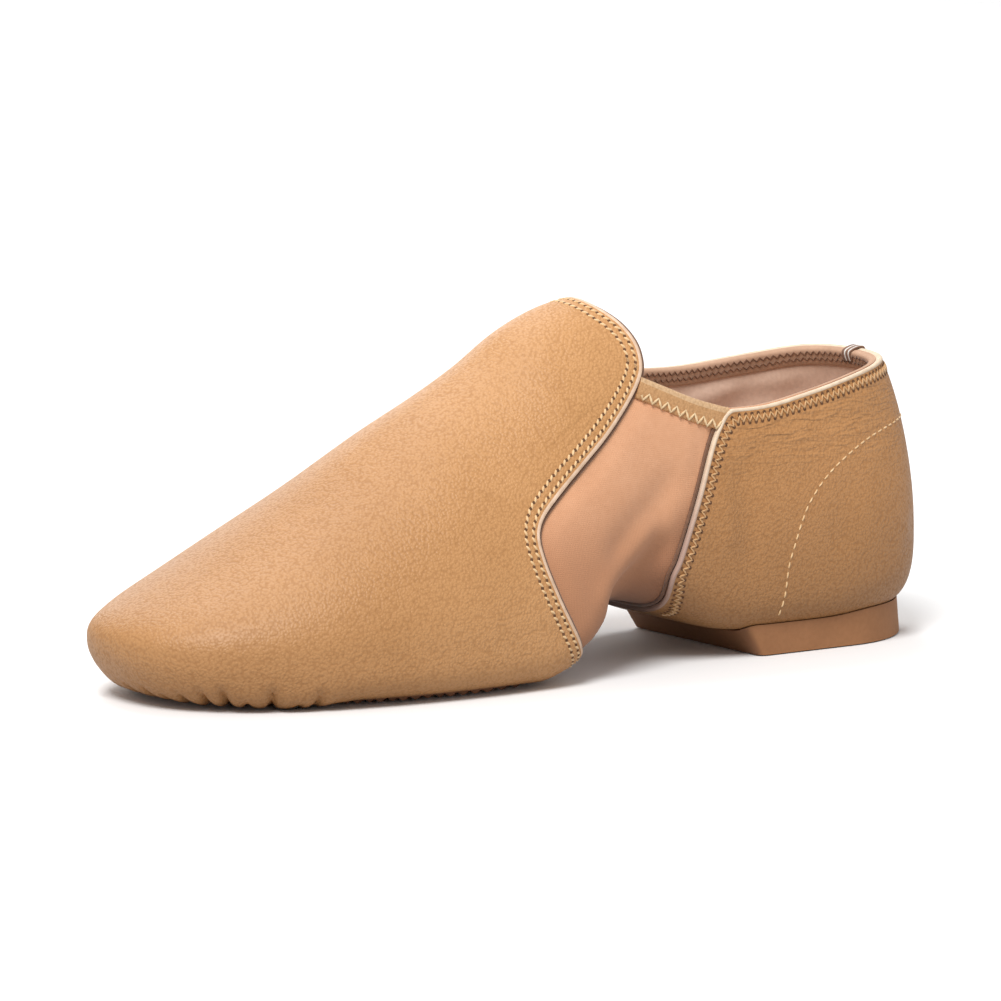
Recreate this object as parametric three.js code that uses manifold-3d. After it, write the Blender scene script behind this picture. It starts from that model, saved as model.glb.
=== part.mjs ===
import * as THREE from "three";
import { mergeVertices } from "three/addons/utils/BufferGeometryUtils.js";
import Module from "manifold-3d";

// A split-sole slip-on jazz shoe for the left foot, in millimetres. The toe points to +X, the little toe to +Y.
// A soft sock of stretch cloth and lining carries a leather vamp in front and a leather quarter round the heel.
// Between them the stretch cloth shows as the arch. A thin rubber patch and a low rubber heel are glued underneath.

// Overall sizes
const shoeLength = 245;
const ballWidth = 88;
const instepHeight = 99;
const collarHeight = 76.5;

// Levels under the foot, above the floor
const heelHeight = 6.2;
const archLift = 10.5;
const toeSpring = 2.4;

// Thicknesses
const sockWall = 1.8;
const leather = 1.2;
const patchThickness = 1.5;
const insoleThickness = 2.2;
const bindingProud = 0.5;

// Widths of the narrow strips
const bindingWidth = 1.3;
const collarBandWidth = 6;

// The clearance between glued or stitched pieces
const seam = 0.3;

// The rubber patch and heel sink this far into the floor plane before it trims them flat
const wearFlat = 0.4;

// How far the leather and the sock turn in under the patch and the heel, and how high the cuts there reach
const lastingMargin = 11;
const undercut = 14;

// The heel block at its rim, measured from the back of the shoe; its foot stands back by the lean behind
// and by the breast's slope in front
const heelBlockBack = 3.5;
const heelBlockLength = 70;
const heelBlockWidth = 58;
const heelBlockRim = 15;
const heelBlockLean = 1.5;
const breastSlope = 10;
const breastCorner = 1.5;

// Fineness of the faceted forms, and the step, in rows or turns, that finds their slopes
const ringCount = 29;
const stepsAround = 24;
const curveSteps = 3;
const roundSteps = 12;
const trimSteps = 18;
const probe = 0.02;
const weld = 1e-4;

const skin = sockWall + seam + leather;
const seatLevel = heelHeight + seam + skin;
const ballLevel = patchThickness - wearFlat + seam + skin;
const halfBall = ballWidth / 2 - skin;
const lastLength = shoeLength - 2 * skin;

// The sections of the last, from the back of the heel to the toe.
// at is a share of the last's length, and width and shift of its half width at the ball; shift is towards the little toe.
// fore goes from the heel's level (0) to the ball's (1), arch and spring are shares of their lifts,
// and round is how far the bottom has curved up to the widest level. widest and over are shares of the instep's height.
// low and high are the fullness of the section below and above its widest level: 2 is an ellipse.
const sections = [
  { at: 0.0, width: 0.0, shift: 0.0, fore: 0.0, arch: 0.0, spring: 0, round: 1.0, widest: 0.29, over: 0.29, low: 2.4, high: 2.0 },
  { at: 0.008, width: 0.3, shift: 0.0, fore: 0.0, arch: 0.0, spring: 0, round: 0.4, widest: 0.285, over: 0.49, low: 2.6, high: 2.0 },
  { at: 0.028, width: 0.5, shift: 0.0, fore: 0.0, arch: 0.0, spring: 0, round: 0.1, widest: 0.28, over: 0.71, low: 3.4, high: 2.1 },
  { at: 0.063, width: 0.64, shift: 0.0, fore: 0.0, arch: 0.0, spring: 0, round: 0.02, widest: 0.28, over: 0.89, low: 4.6, high: 2.2 },
  { at: 0.127, width: 0.72, shift: 0.0, fore: 0.0, arch: 0.0, spring: 0, round: 0.0, widest: 0.28, over: 1.04, low: 6.5, high: 2.2 },
  { at: 0.209, width: 0.73, shift: 0.0, fore: 0.0, arch: 0.0, spring: 0, round: 0.0, widest: 0.29, over: 1.09, low: 7.5, high: 2.2 },
  { at: 0.286, width: 0.72, shift: 0.0, fore: 0.0, arch: 0.05, spring: 0, round: 0.0, widest: 0.31, over: 1.08, low: 7.5, high: 2.1 },
  { at: 0.352, width: 0.71, shift: 0.01, fore: 0.0, arch: 0.5, spring: 0, round: 0.0, widest: 0.33, over: 1.03, low: 4.0, high: 2.0 },
  { at: 0.408, width: 0.74, shift: 0.01, fore: 0.2, arch: 0.92, spring: 0, round: 0.0, widest: 0.33, over: 0.98, low: 2.3, high: 1.9 },
  { at: 0.459, width: 0.8, shift: 0.015, fore: 0.6, arch: 0.95, spring: 0, round: 0.0, widest: 0.3, over: 0.955, low: 2.2, high: 1.8 },
  { at: 0.505, width: 0.87, shift: 0.015, fore: 0.9, arch: 0.35, spring: 0, round: 0.0, widest: 0.24, over: 0.908, low: 4.0, high: 1.75 },
  { at: 0.55, width: 0.93, shift: 0.005, fore: 1.0, arch: 0.02, spring: 0, round: 0.0, widest: 0.19, over: 0.832, low: 6.5, high: 1.75 },
  { at: 0.6, width: 0.97, shift: -0.01, fore: 1.0, arch: 0.0, spring: 0, round: 0.0, widest: 0.17, over: 0.76, low: 7.0, high: 1.75 },
  { at: 0.668, width: 1.0, shift: -0.035, fore: 1.0, arch: 0.0, spring: 0, round: 0.0, widest: 0.16, over: 0.668, low: 7.0, high: 1.8 },
  { at: 0.745, width: 0.99, shift: -0.06, fore: 1.0, arch: 0.0, spring: 0.02, round: 0.0, widest: 0.155, over: 0.552, low: 6.5, high: 1.85 },
  { at: 0.826, width: 0.92, shift: -0.08, fore: 1.0, arch: 0.0, spring: 0.1, round: 0.0, widest: 0.15, over: 0.44, low: 5.5, high: 1.95 },
  { at: 0.897, width: 0.79, shift: -0.1, fore: 1.0, arch: 0.0, spring: 0.35, round: 0.0, widest: 0.15, over: 0.346, low: 4.4, high: 2.0 },
  { at: 0.952, width: 0.6, shift: -0.11, fore: 1.0, arch: 0.0, spring: 0.7, round: 0.06, widest: 0.155, over: 0.275, low: 3.4, high: 2.15 },
  { at: 0.988, width: 0.35, shift: -0.135, fore: 1.0, arch: 0.0, spring: 1.0, round: 0.32, widest: 0.16, over: 0.218, low: 2.7, high: 2.15 },
  { at: 1.0, width: 0.0, shift: -0.15, fore: 1.0, arch: 0.0, spring: 1.0, round: 1.0, widest: 0.16, over: 0.16, low: 2.4, high: 2.2 },
];

// The rear edge of the vamp in side view, from the tongue's tip down to the floor.
// at is a share of the shoe's length, up of the instep's height.
const vampEdge = [
  { at: 0.465, up: 1.2 },
  { at: 0.449, up: 1.04 },
  { at: 0.426, up: 0.975 },
  { at: 0.405, up: 0.91 },
  { at: 0.398, up: 0.84 },
  { at: 0.41, up: 0.765 },
  { at: 0.461, up: 0.65 },
  { at: 0.538, up: 0.51 },
  { at: 0.572, up: 0.43 },
  { at: 0.574, up: 0.35 },
  { at: 0.557, up: 0.235 },
  { at: 0.53, up: 0.12 },
  { at: 0.513, up: 0.04 },
  { at: 0.508, up: -0.1 },
];

// The front edge of the quarter in side view, from its top corner down to the floor, in the same shares
const quarterEdge = [
  { at: 0.306, up: 0.68 },
  { at: 0.329, up: 0.6 },
  { at: 0.354, up: 0.45 },
  { at: 0.379, up: 0.3 },
  { at: 0.387, up: 0.235 },
  { at: 0.378, up: 0.15 },
  { at: 0.365, up: 0.09 },
  { at: 0.355, up: -0.1 },
];

// The topline in side view, from behind the heel to the vamp, in shares of the collar's height at the back.
// outer is its height on the little-toe side, where it dips below the ankle bone, and inner on the other side.
const quarterTopline = [
  { at: -0.05, outer: 1.0, inner: 1.0 },
  { at: 0.04, outer: 0.995, inner: 1.0 },
  { at: 0.112, outer: 0.968, inner: 0.96 },
  { at: 0.194, outer: 0.918, inner: 0.932 },
  { at: 0.255, outer: 0.885, inner: 0.935 },
  { at: 0.306, outer: 0.88, inner: 0.952 },
];
const archTopline = [
  { at: 0.306, outer: 0.88, inner: 0.952 },
  { at: 0.346, outer: 0.92, inner: 0.975 },
  { at: 0.398, outer: 0.995, inner: 1.01 },
  { at: 0.418, outer: 1.03, inner: 1.03 },
];

// Shares: the collar's half width of half the ball's, the insole's width of the last's,
// and how long the heel block's round back is for its half width
const collarShare = 0.75;
const insoleShare = 0.84;
const heelRound = 1.05;

// The rubber patch seen from above, from its rear middle round the little-toe side to the front and back.
// at is a share of the shoe's length, side of half the ball's width, positive towards the little toe.
const patchOutline = [
  { at: 0.55, side: 0.0 },
  { at: 0.556, side: 0.42 },
  { at: 0.58, side: 0.7 },
  { at: 0.63, side: 0.81 },
  { at: 0.705, side: 0.79 },
  { at: 0.78, side: 0.7 },
  { at: 0.855, side: 0.53 },
  { at: 0.91, side: 0.31 },
  { at: 0.938, side: 0.06 },
  { at: 0.945, side: -0.18 },
  { at: 0.928, side: -0.45 },
  { at: 0.888, side: -0.67 },
  { at: 0.825, side: -0.82 },
  { at: 0.735, side: -0.88 },
  { at: 0.645, side: -0.86 },
  { at: 0.59, side: -0.72 },
  { at: 0.56, side: -0.43 },
];

const wasm = await Module();
wasm.setup();

// A closed three.js geometry as a manifold solid
function solidFrom(geometry) {
  const bare = geometry.clone();
  bare.deleteAttribute("normal");
  bare.deleteAttribute("uv");
  const merged = mergeVertices(bare, weld);
  return new wasm.Manifold(
    new wasm.Mesh({
      numProp: 3,
      vertProperties: merged.getAttribute("position").array,
      triVerts: new Uint32Array(merged.index.array),
    }),
  );
}

// A manifold solid as a three.js geometry with flat facets
function geometryFrom(solid) {
  const mesh = solid.getMesh();
  const position = new Float32Array(mesh.numVert * 3);
  for (let i = 0; i < mesh.numVert; i++) {
    position.set(mesh.vertProperties.subarray(i * mesh.numProp, i * mesh.numProp + 3), i * 3);
  }
  const indexed = new THREE.BufferGeometry()
    .setAttribute("position", new THREE.BufferAttribute(position, 3))
    .setIndex(new THREE.BufferAttribute(new Uint32Array(mesh.triVerts), 1));
  const flat = indexed.toNonIndexed();
  flat.computeVertexNormals();
  return flat;
}

// The table's rows as real sizes
const rows = sections.map((s) => {
  const widest = s.widest * instepHeight;
  const level = THREE.MathUtils.lerp(seatLevel, ballLevel, s.fore) + s.arch * archLift + s.spring * toeSpring;
  return {
    x: skin + s.at * lastLength,
    width: s.width * halfBall,
    shift: s.shift * halfBall,
    bottom: THREE.MathUtils.lerp(level, widest, s.round),
    widest,
    top: s.over * instepHeight - skin * (1 - s.round),
    low: s.low,
    high: s.high,
  };
});

// Beyond a pole the section is its neighbour turned over, so the form rounds off smoothly there
const turnedOver = (r) => ({ ...r, width: -r.width, bottom: r.top, top: r.bottom });
const rowAt = (i) => {
  if (i < 0) return turnedOver(rows[-i]);
  if (i >= rows.length) return turnedOver(rows[2 * (rows.length - 1) - i]);
  return rows[i];
};

// The last's section at place t, counted in rows, by a Catmull-Rom curve through the rows
function sectionAt(t) {
  const i = Math.min(Math.floor(t), rows.length - 2);
  const f = t - i;
  const [a, b, c, d] = [rowAt(i - 1), rowAt(i), rowAt(i + 1), rowAt(i + 2)];
  const made = {};
  for (const key of Object.keys(b)) {
    const slopeB = (c[key] - a[key]) / 2;
    const slopeC = (d[key] - b[key]) / 2;
    const cubic = 2 * b[key] - 2 * c[key] + slopeB + slopeC;
    const square = 3 * c[key] - 3 * b[key] - 2 * slopeB - slopeC;
    made[key] = ((cubic * f + square) * f + slopeB) * f + b[key];
  }
  return made;
}

// A point of the last: turn runs from the bottom's middle, up the little-toe side, over the top and down again
function lastPoint(t, turn) {
  const s = sectionAt(t);
  const across = Math.sin(turn);
  const down = Math.cos(turn);
  const power = 2 / (down > 0 ? s.low : s.high);
  const reach = down > 0 ? s.bottom - s.widest : s.top - s.widest;
  return new THREE.Vector3(
    s.x,
    s.shift + s.width * Math.sign(across) * Math.abs(across) ** power,
    s.widest + reach * Math.abs(down) ** power,
  );
}

// The same point moved out from the last by a distance, square to the surface
function formPoint(t, turn, out) {
  const end = rows.length - 1;
  const here = lastPoint(t, turn);
  if (t === 0 || t === end) return here.setX(here.x + (t === 0 ? -out : out));
  const along = lastPoint(Math.min(t + probe, end), turn).sub(lastPoint(Math.max(t - probe, 0), turn));
  const around = lastPoint(t, turn + probe).sub(lastPoint(t, turn - probe));
  return here.addScaledVector(around.cross(along).normalize(), out);
}

// The last grown by a distance all round, as a closed solid of rings between its two poles
function form(out) {
  const end = rows.length - 1;
  const position = [...formPoint(0, 0, out).toArray()];
  for (let ring = 1; ring <= ringCount; ring++) {
    for (let j = 0; j < stepsAround; j++) {
      const place = (ring * end) / (ringCount + 1);
      position.push(...formPoint(place, (j / stepsAround) * 2 * Math.PI, out).toArray());
    }
  }
  position.push(...formPoint(end, 0, out).toArray());
  const toePole = 1 + ringCount * stepsAround;
  const at = (ring, j) => 1 + ring * stepsAround + (j % stepsAround);
  const faces = [];
  for (let j = 0; j < stepsAround; j++) {
    faces.push(0, at(0, j + 1), at(0, j));
    for (let ring = 0; ring < ringCount - 1; ring++) {
      faces.push(at(ring, j), at(ring + 1, j + 1), at(ring + 1, j));
      faces.push(at(ring, j), at(ring, j + 1), at(ring + 1, j + 1));
    }
    faces.push(toePole, at(ringCount - 1, j), at(ringCount - 1, j + 1));
  }
  const geometry = new THREE.BufferGeometry()
    .setAttribute("position", new THREE.BufferAttribute(new Float32Array(position), 3))
    .setIndex(faces);
  return solidFrom(geometry);
}

// The wall between two growths of the last
const wall = (inner, outer) => form(outer).subtract(form(inner));

// A smooth curve through points, as points
const smooth = (points) => new THREE.SplineCurve(points).getPoints((points.length - 1) * curveSteps);

// A curve moved sideways, to the left of its direction
function moved(points, by) {
  return points.map((p, i) => {
    const before = points[Math.max(i - 1, 0)];
    const after = points[Math.min(i + 1, points.length - 1)];
    const along = after.clone().sub(before).normalize();
    return new THREE.Vector2(p.x - along.y * by, p.y + along.x * by);
  });
}

// A block between two outlines of as many points each; place gives a point of the first or the second in space
function blockBetween(first, second, place) {
  const turned = THREE.ShapeUtils.isClockWise(first);
  const one = turned ? [...first].reverse() : first;
  const two = turned ? [...second].reverse() : second;
  const count = one.length;
  const position = [...one.map((p) => place(p, 0)), ...two.map((p) => place(p, 1))].flat();
  const faces = [];
  for (const [a, b, c] of THREE.ShapeUtils.triangulateShape(one, [])) faces.push(c, b, a);
  for (const [a, b, c] of THREE.ShapeUtils.triangulateShape(two, [])) faces.push(a + count, b + count, c + count);
  for (let i = 0; i < count; i++) {
    const next = (i + 1) % count;
    faces.push(i, next, next + count, i, next + count, i + count);
  }
  const geometry = new THREE.BufferGeometry()
    .setAttribute("position", new THREE.BufferAttribute(new Float32Array(position), 3))
    .setIndex(faces);
  return solidFrom(geometry);
}

// A side-view outline as a block right across the shoe; the inner side may have an outline of its own
function sideBlock(outer, inner = outer) {
  return blockBetween(outer, inner, (p, end) => [p.x, end === 0 ? ballWidth : -ballWidth, p.y]);
}

// A plan outline as an upright block between two heights; its top may have an outline of its own
function planBlock(outline, low, high, top = outline) {
  return blockBetween(outline, top, (p, end) => [p.x, p.y, end === 0 ? low : high]);
}

// How much a point of the quarter's front edge follows its top corner: all of it at the corner, none at the floor
const frontShare = (z) => THREE.MathUtils.clamp(z / (quarterEdge[0].up * instepHeight), 0, 1);

const sidePoint = (r, height) => new THREE.Vector2(r.at * shoeLength, r.up * height);
const above = 2 * instepHeight;
const below = -instepHeight;
const behind = -shoeLength;
const ahead = 2 * shoeLength;

const vampCurve = smooth(vampEdge.map((r) => sidePoint(r, instepHeight)));
const quarterCurve = smooth(quarterEdge.map((r) => sidePoint(r, instepHeight)));

// A topline at one end of a side block: 1 on the little-toe side, -1 on the other.
// The block is wider than the collar, so it leans by as much more beyond the collar's walls.
function toplineAt(table, side) {
  const lean = (side * ballWidth) / (collarShare * halfBall);
  return smooth(
    table.map((r) => {
      const share = (r.outer + r.inner) / 2 + ((r.outer - r.inner) / 2) * lean;
      return new THREE.Vector2(r.at * shoeLength, share * collarHeight);
    }),
  );
}

// All that lies in front of the vamp's rear edge, moved forward by some distance
function inFrontOfVampEdge(by) {
  const edge = moved(vampCurve, by);
  return sideBlock([
    ...edge,
    new THREE.Vector2(edge.at(-1).x, below),
    new THREE.Vector2(ahead, below),
    new THREE.Vector2(ahead, above),
    new THREE.Vector2(edge[0].x, above),
  ]);
}

// All that lies behind and below the quarter's edge and topline, grown by some distance
function withinQuarter(by) {
  const outline = (side) => {
    const corner = toplineAt(quarterTopline, side);
    const drop = corner.at(-1).y - quarterCurve[0].y;
    const front = quarterCurve.slice(1).map((p) => new THREE.Vector2(p.x, p.y + drop * frontShare(p.y)));
    const edge = moved([...corner, ...front], by);
    return [
      new THREE.Vector2(behind, edge[0].y),
      ...edge,
      new THREE.Vector2(edge.at(-1).x, below),
      new THREE.Vector2(behind, below),
    ];
  };
  return sideBlock(outline(1), outline(-1));
}

// All that lies below the topline, lowered by some distance, and reaching forward past the tongue's rear edge
function belowTopline(by) {
  const outline = (side) => {
    const line = moved([...toplineAt(quarterTopline, side), ...toplineAt(archTopline, side).slice(1)], -by);
    return [
      new THREE.Vector2(behind, line[0].y),
      ...line,
      new THREE.Vector2(ahead, line.at(-1).y),
      new THREE.Vector2(ahead, below),
      new THREE.Vector2(behind, below),
    ];
  };
  return sideBlock(outline(1), outline(-1));
}

// All that lies below the last's widest level
function belowWidest() {
  const line = rows.map((r) => new THREE.Vector2(r.x, r.widest));
  return sideBlock([
    new THREE.Vector2(behind, line[0].y),
    ...line,
    new THREE.Vector2(ahead, line.at(-1).y),
    new THREE.Vector2(ahead, below),
    new THREE.Vector2(behind, below),
  ]);
}

// The patch's outline, drawn in by a margin
function patchCurve(margin) {
  const points = patchOutline.map((r) => new THREE.Vector2(r.at * shoeLength, (r.side * ballWidth) / 2));
  const closed = smooth([...points, points[0]]);
  closed.pop();
  const count = closed.length;
  return closed.map((p, i) => {
    const along = closed[(i + 1) % count].clone().sub(closed[(i - 1 + count) % count]).normalize();
    return new THREE.Vector2(p.x + along.y * margin, p.y - along.x * margin);
  });
}

// The heel block's outline seen from above, drawn in by a margin: a straight breast with small corners and a
// round back. foot is 1 on the floor and 0 at the rim.
function heelCurve(margin, foot = 0) {
  const rear = heelBlockBack + margin - heelBlockLean * foot;
  const front = heelBlockBack + heelBlockLength - margin - breastSlope * foot;
  const half = heelBlockWidth / 2 - margin;
  const depth = half * heelRound;
  const shape = new THREE.Shape();
  shape.moveTo(front, -half + breastCorner);
  shape.lineTo(front, half - breastCorner);
  shape.lineTo(front - breastCorner, half);
  shape.absellipse(rear + depth, 0, depth, half, Math.PI / 2, 1.5 * Math.PI, false);
  shape.lineTo(front - breastCorner, -half);
  return shape.getPoints(roundSteps);
}

const overFloor = planBlock(
  [
    new THREE.Vector2(behind, -ballWidth),
    new THREE.Vector2(ahead, -ballWidth),
    new THREE.Vector2(ahead, ballWidth),
    new THREE.Vector2(behind, ballWidth),
  ],
  0,
  above,
);

const underside = belowWidest();
const patchHole = planBlock(patchCurve(lastingMargin), below, undercut);
const heelHole = planBlock(heelCurve(lastingMargin), below, undercut);
const sockOut = sockWall;
const leatherIn = sockWall + seam;

// The sock: lining and stretch cloth in one wall, open at the collar and under the patch and the heel
function sock() {
  const topOpening = belowTopline(0).add(inFrontOfVampEdge(seam));
  return wall(0, sockOut).intersect(topOpening).subtract(patchHole).subtract(heelHole);
}

// The vamp: one piece of leather from the toe to the tongue, turned in under the patch
function vamp() {
  return wall(leatherIn, skin).intersect(inFrontOfVampEdge(0)).subtract(patchHole);
}

// The quarter: leather round the heel, turned in under the heel block
function quarter() {
  return wall(leatherIn, skin).intersect(withinQuarter(-seam - bindingWidth)).subtract(heelHole);
}

// The pale binding that edges the quarter all the way round
function quarterBinding() {
  const band = withinQuarter(0).subtract(withinQuarter(-bindingWidth));
  return wall(leatherIn, skin + bindingProud).intersect(band);
}

// The strip that hems the stretch cloth between the vamp and the quarter, on one side
function collarBand(side) {
  const band = belowTopline(0).subtract(belowTopline(collarBandWidth));
  const strip = wall(leatherIn, skin)
    .intersect(band)
    .subtract(withinQuarter(seam))
    .subtract(inFrontOfVampEdge(-seam));
  const half = planBlock(
    [
      new THREE.Vector2(behind, 0),
      new THREE.Vector2(ahead, 0),
      new THREE.Vector2(ahead, side * ballWidth),
      new THREE.Vector2(behind, side * ballWidth),
    ],
    below,
    above,
  );
  return strip.intersect(half);
}

// The insole: a padded sheet along the whole foot, on the sock's floor
function insole() {
  const top = -seam - insoleThickness;
  const trim = new THREE.SplineCurve(
    rows.slice(1, -1).map((r) => new THREE.Vector2(r.x, r.shift + r.width * insoleShare)),
  ).getPoints(trimSteps);
  const back = new THREE.SplineCurve(
    rows.slice(1, -1).reverse().map((r) => new THREE.Vector2(r.x, r.shift - r.width * insoleShare)),
  ).getPoints(trimSteps);
  const sheet = planBlock([...trim, ...back], below, above);
  return wall(top, -seam).intersect(underside).intersect(sheet);
}

// The rubber patch under the ball, following the vamp's underside and flat where it stands
function outsole() {
  const under = skin + seam;
  return wall(under, under + patchThickness)
    .intersect(planBlock(patchCurve(0), below, above))
    .intersect(underside)
    .intersect(overFloor);
}

// The heel block: flat underneath, cupped on top to the quarter, with a breast that slopes forward as it rises
function heel() {
  const block = planBlock(heelCurve(0, 1), 0, heelBlockRim, heelCurve(0));
  return block.subtract(form(skin + seam));
}

const finishes = {
  leather: new THREE.MeshStandardMaterial({ color: "#c4935f", roughness: 0.55 }),
  binding: new THREE.MeshStandardMaterial({ color: "#e2cbb0", roughness: 0.7 }),
  stretch: new THREE.MeshStandardMaterial({ color: "#cf9a74", roughness: 0.9 }),
  insole: new THREE.MeshStandardMaterial({ color: "#cdae96", roughness: 0.9 }),
  rubber: new THREE.MeshStandardMaterial({ color: "#a9714f", roughness: 0.7 }),
};

const shoe = new THREE.Group();
function fit(name, solid, finish) {
  const mesh = new THREE.Mesh(geometryFrom(solid), finish);
  mesh.name = name;
  shoe.add(mesh);
}

fit("upper", sock(), finishes.stretch);
fit("vamp", vamp(), finishes.leather);
fit("quarter", quarter(), finishes.leather);
fit("quarter_binding", quarterBinding(), finishes.binding);
fit("collar_band_outer", collarBand(1), finishes.leather);
fit("collar_band_inner", collarBand(-1), finishes.leather);
fit("insole", insole(), finishes.insole);
fit("outsole", outsole(), finishes.rubber);
fit("heel", heel(), finishes.rubber);

// The origin is on the floor, under the middle of the shoe
const box = new THREE.Box3().setFromObject(shoe);
const middle = box.getCenter(new THREE.Vector3());
shoe.position.set(-middle.x, -middle.y, -box.min.z);

export default shoe;
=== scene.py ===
import math

import bmesh
import bpy
import numpy as np
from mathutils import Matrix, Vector
from mathutils.bvhtree import BVHTree


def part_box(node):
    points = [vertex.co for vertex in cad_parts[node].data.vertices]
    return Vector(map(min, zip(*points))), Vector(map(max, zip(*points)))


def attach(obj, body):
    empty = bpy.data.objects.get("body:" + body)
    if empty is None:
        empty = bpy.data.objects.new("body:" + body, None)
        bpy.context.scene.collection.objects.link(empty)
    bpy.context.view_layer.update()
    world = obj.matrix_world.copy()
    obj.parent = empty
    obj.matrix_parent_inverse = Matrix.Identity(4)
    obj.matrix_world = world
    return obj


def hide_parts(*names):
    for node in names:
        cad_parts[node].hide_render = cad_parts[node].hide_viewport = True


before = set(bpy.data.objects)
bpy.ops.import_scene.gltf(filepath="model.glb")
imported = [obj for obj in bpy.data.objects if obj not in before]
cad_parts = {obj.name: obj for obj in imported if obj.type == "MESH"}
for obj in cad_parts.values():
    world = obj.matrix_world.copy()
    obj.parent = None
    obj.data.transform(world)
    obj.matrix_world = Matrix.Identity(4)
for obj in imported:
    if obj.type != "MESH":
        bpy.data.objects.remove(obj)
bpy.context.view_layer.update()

# The sock: one wall of satin lining and stretch cloth, pulled over the last from the collar to the toe.
# It shows as the arch between the two leather parts and as the lining inside. It is sewn, turned and then
# drawn on the last, whose sections stand below in shares of the shoe's length, width and height.
shoe_length, ball_width, instep_height, collar_height = 245.0, 88.0, 99.0, 76.5
heel_height, arch_lift, toe_spring = 6.2, 10.5, 2.4
sock_wall, seam, leather = 1.8, 0.3, 1.2
patch_thickness, wear_flat, binding_width = 1.5, 0.4, 1.3
skin = sock_wall + seam + leather
under_skin = skin + seam
half_ball = ball_width / 2 - skin
# at, width, shift, fore, arch, spring, round, widest, over, low, high
sections = np.array([
    (0.0, 0.0, 0.0, 0.0, 0.0, 0, 1.0, 0.29, 0.29, 2.4, 2.0),
    (0.008, 0.3, 0.0, 0.0, 0.0, 0, 0.4, 0.285, 0.49, 2.6, 2.0),
    (0.028, 0.5, 0.0, 0.0, 0.0, 0, 0.1, 0.28, 0.71, 3.4, 2.1),
    (0.063, 0.64, 0.0, 0.0, 0.0, 0, 0.02, 0.28, 0.89, 4.6, 2.2),
    (0.127, 0.72, 0.0, 0.0, 0.0, 0, 0.0, 0.28, 1.04, 6.5, 2.2),
    (0.209, 0.73, 0.0, 0.0, 0.0, 0, 0.0, 0.29, 1.09, 7.5, 2.2),
    (0.286, 0.72, 0.0, 0.0, 0.05, 0, 0.0, 0.31, 1.08, 7.5, 2.1),
    (0.352, 0.71, 0.01, 0.0, 0.5, 0, 0.0, 0.33, 1.03, 4.0, 2.0),
    (0.408, 0.74, 0.01, 0.2, 0.92, 0, 0.0, 0.33, 0.98, 2.3, 1.9),
    (0.459, 0.8, 0.015, 0.6, 0.95, 0, 0.0, 0.3, 0.955, 2.2, 1.8),
    (0.505, 0.87, 0.015, 0.9, 0.35, 0, 0.0, 0.24, 0.908, 4.0, 1.75),
    (0.55, 0.93, 0.005, 1.0, 0.02, 0, 0.0, 0.19, 0.832, 6.5, 1.75),
    (0.6, 0.97, -0.01, 1.0, 0.0, 0, 0.0, 0.17, 0.76, 7.0, 1.75),
    (0.668, 1.0, -0.035, 1.0, 0.0, 0, 0.0, 0.16, 0.668, 7.0, 1.8),
    (0.745, 0.99, -0.06, 1.0, 0.0, 0.02, 0.0, 0.155, 0.552, 6.5, 1.85),
    (0.826, 0.92, -0.08, 1.0, 0.0, 0.1, 0.0, 0.15, 0.44, 5.5, 1.95),
    (0.897, 0.79, -0.1, 1.0, 0.0, 0.35, 0.0, 0.15, 0.346, 4.4, 2.0),
    (0.952, 0.6, -0.11, 1.0, 0.0, 0.7, 0.06, 0.155, 0.275, 3.4, 2.15),
    (0.988, 0.35, -0.135, 1.0, 0.0, 1.0, 0.32, 0.16, 0.218, 2.7, 2.15),
    (1.0, 0.0, -0.15, 1.0, 0.0, 1.0, 1.0, 0.16, 0.16, 2.4, 2.2),
])
end = len(sections) - 1


def mix(a, b, f):
    return a + (b - a) * f


def ease(v):
    """0 below 0, 1 above 1 and smooth between them."""
    v = np.clip(v, 0, 1)
    return v * v * (3 - 2 * v)


def unit(v):
    return v / np.maximum(np.linalg.norm(v, axis=-1, keepdims=True), 1e-9)


def curve_between(a, b, c, d, f):
    """Places from b to c on a smooth curve that passes a before and d after them."""
    slope_b, slope_c = (c - a) / 2, (d - b) / 2
    cubic, square = 2 * b - 2 * c + slope_b + slope_c, 3 * c - 3 * b - 2 * slope_b - slope_c
    return ((cubic * f + square) * f + slope_b) * f + b


def last_rows():
    """The sections in millimetres, with a neighbour turned over beyond each end, which rounds it off."""
    at, width, shift, fore, arch, spring, rounding, widest, over, low, high = sections.T
    seat = heel_height + seam + skin
    ball = patch_thickness - wear_flat + seam + skin
    level = mix(seat, ball, fore) + arch * arch_lift + spring * toe_spring
    middle = widest * instep_height
    bottom = mix(level, middle, rounding)
    top = over * instep_height - skin * (1 - rounding)
    x = skin + at * (shoe_length - 2 * skin)
    rows = np.stack([x, width * half_ball, shift * half_ball, bottom, middle, top, low, high], 1)
    turned = rows[[1, -2]][:, [0, 1, 2, 5, 4, 3, 6, 7]] * np.array([1, -1, 1, 1, 1, 1, 1, 1])
    return np.vstack([turned[:1], rows, turned[1:]])


def section_at(t, rows=last_rows()):
    i = np.clip(np.floor(t).astype(int), 0, end - 1)
    return curve_between(*(rows[i + k] for k in range(4)), (t - i)[..., None])


net_rows, net_around, ridge_softness = 24, 480, 0.005


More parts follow.
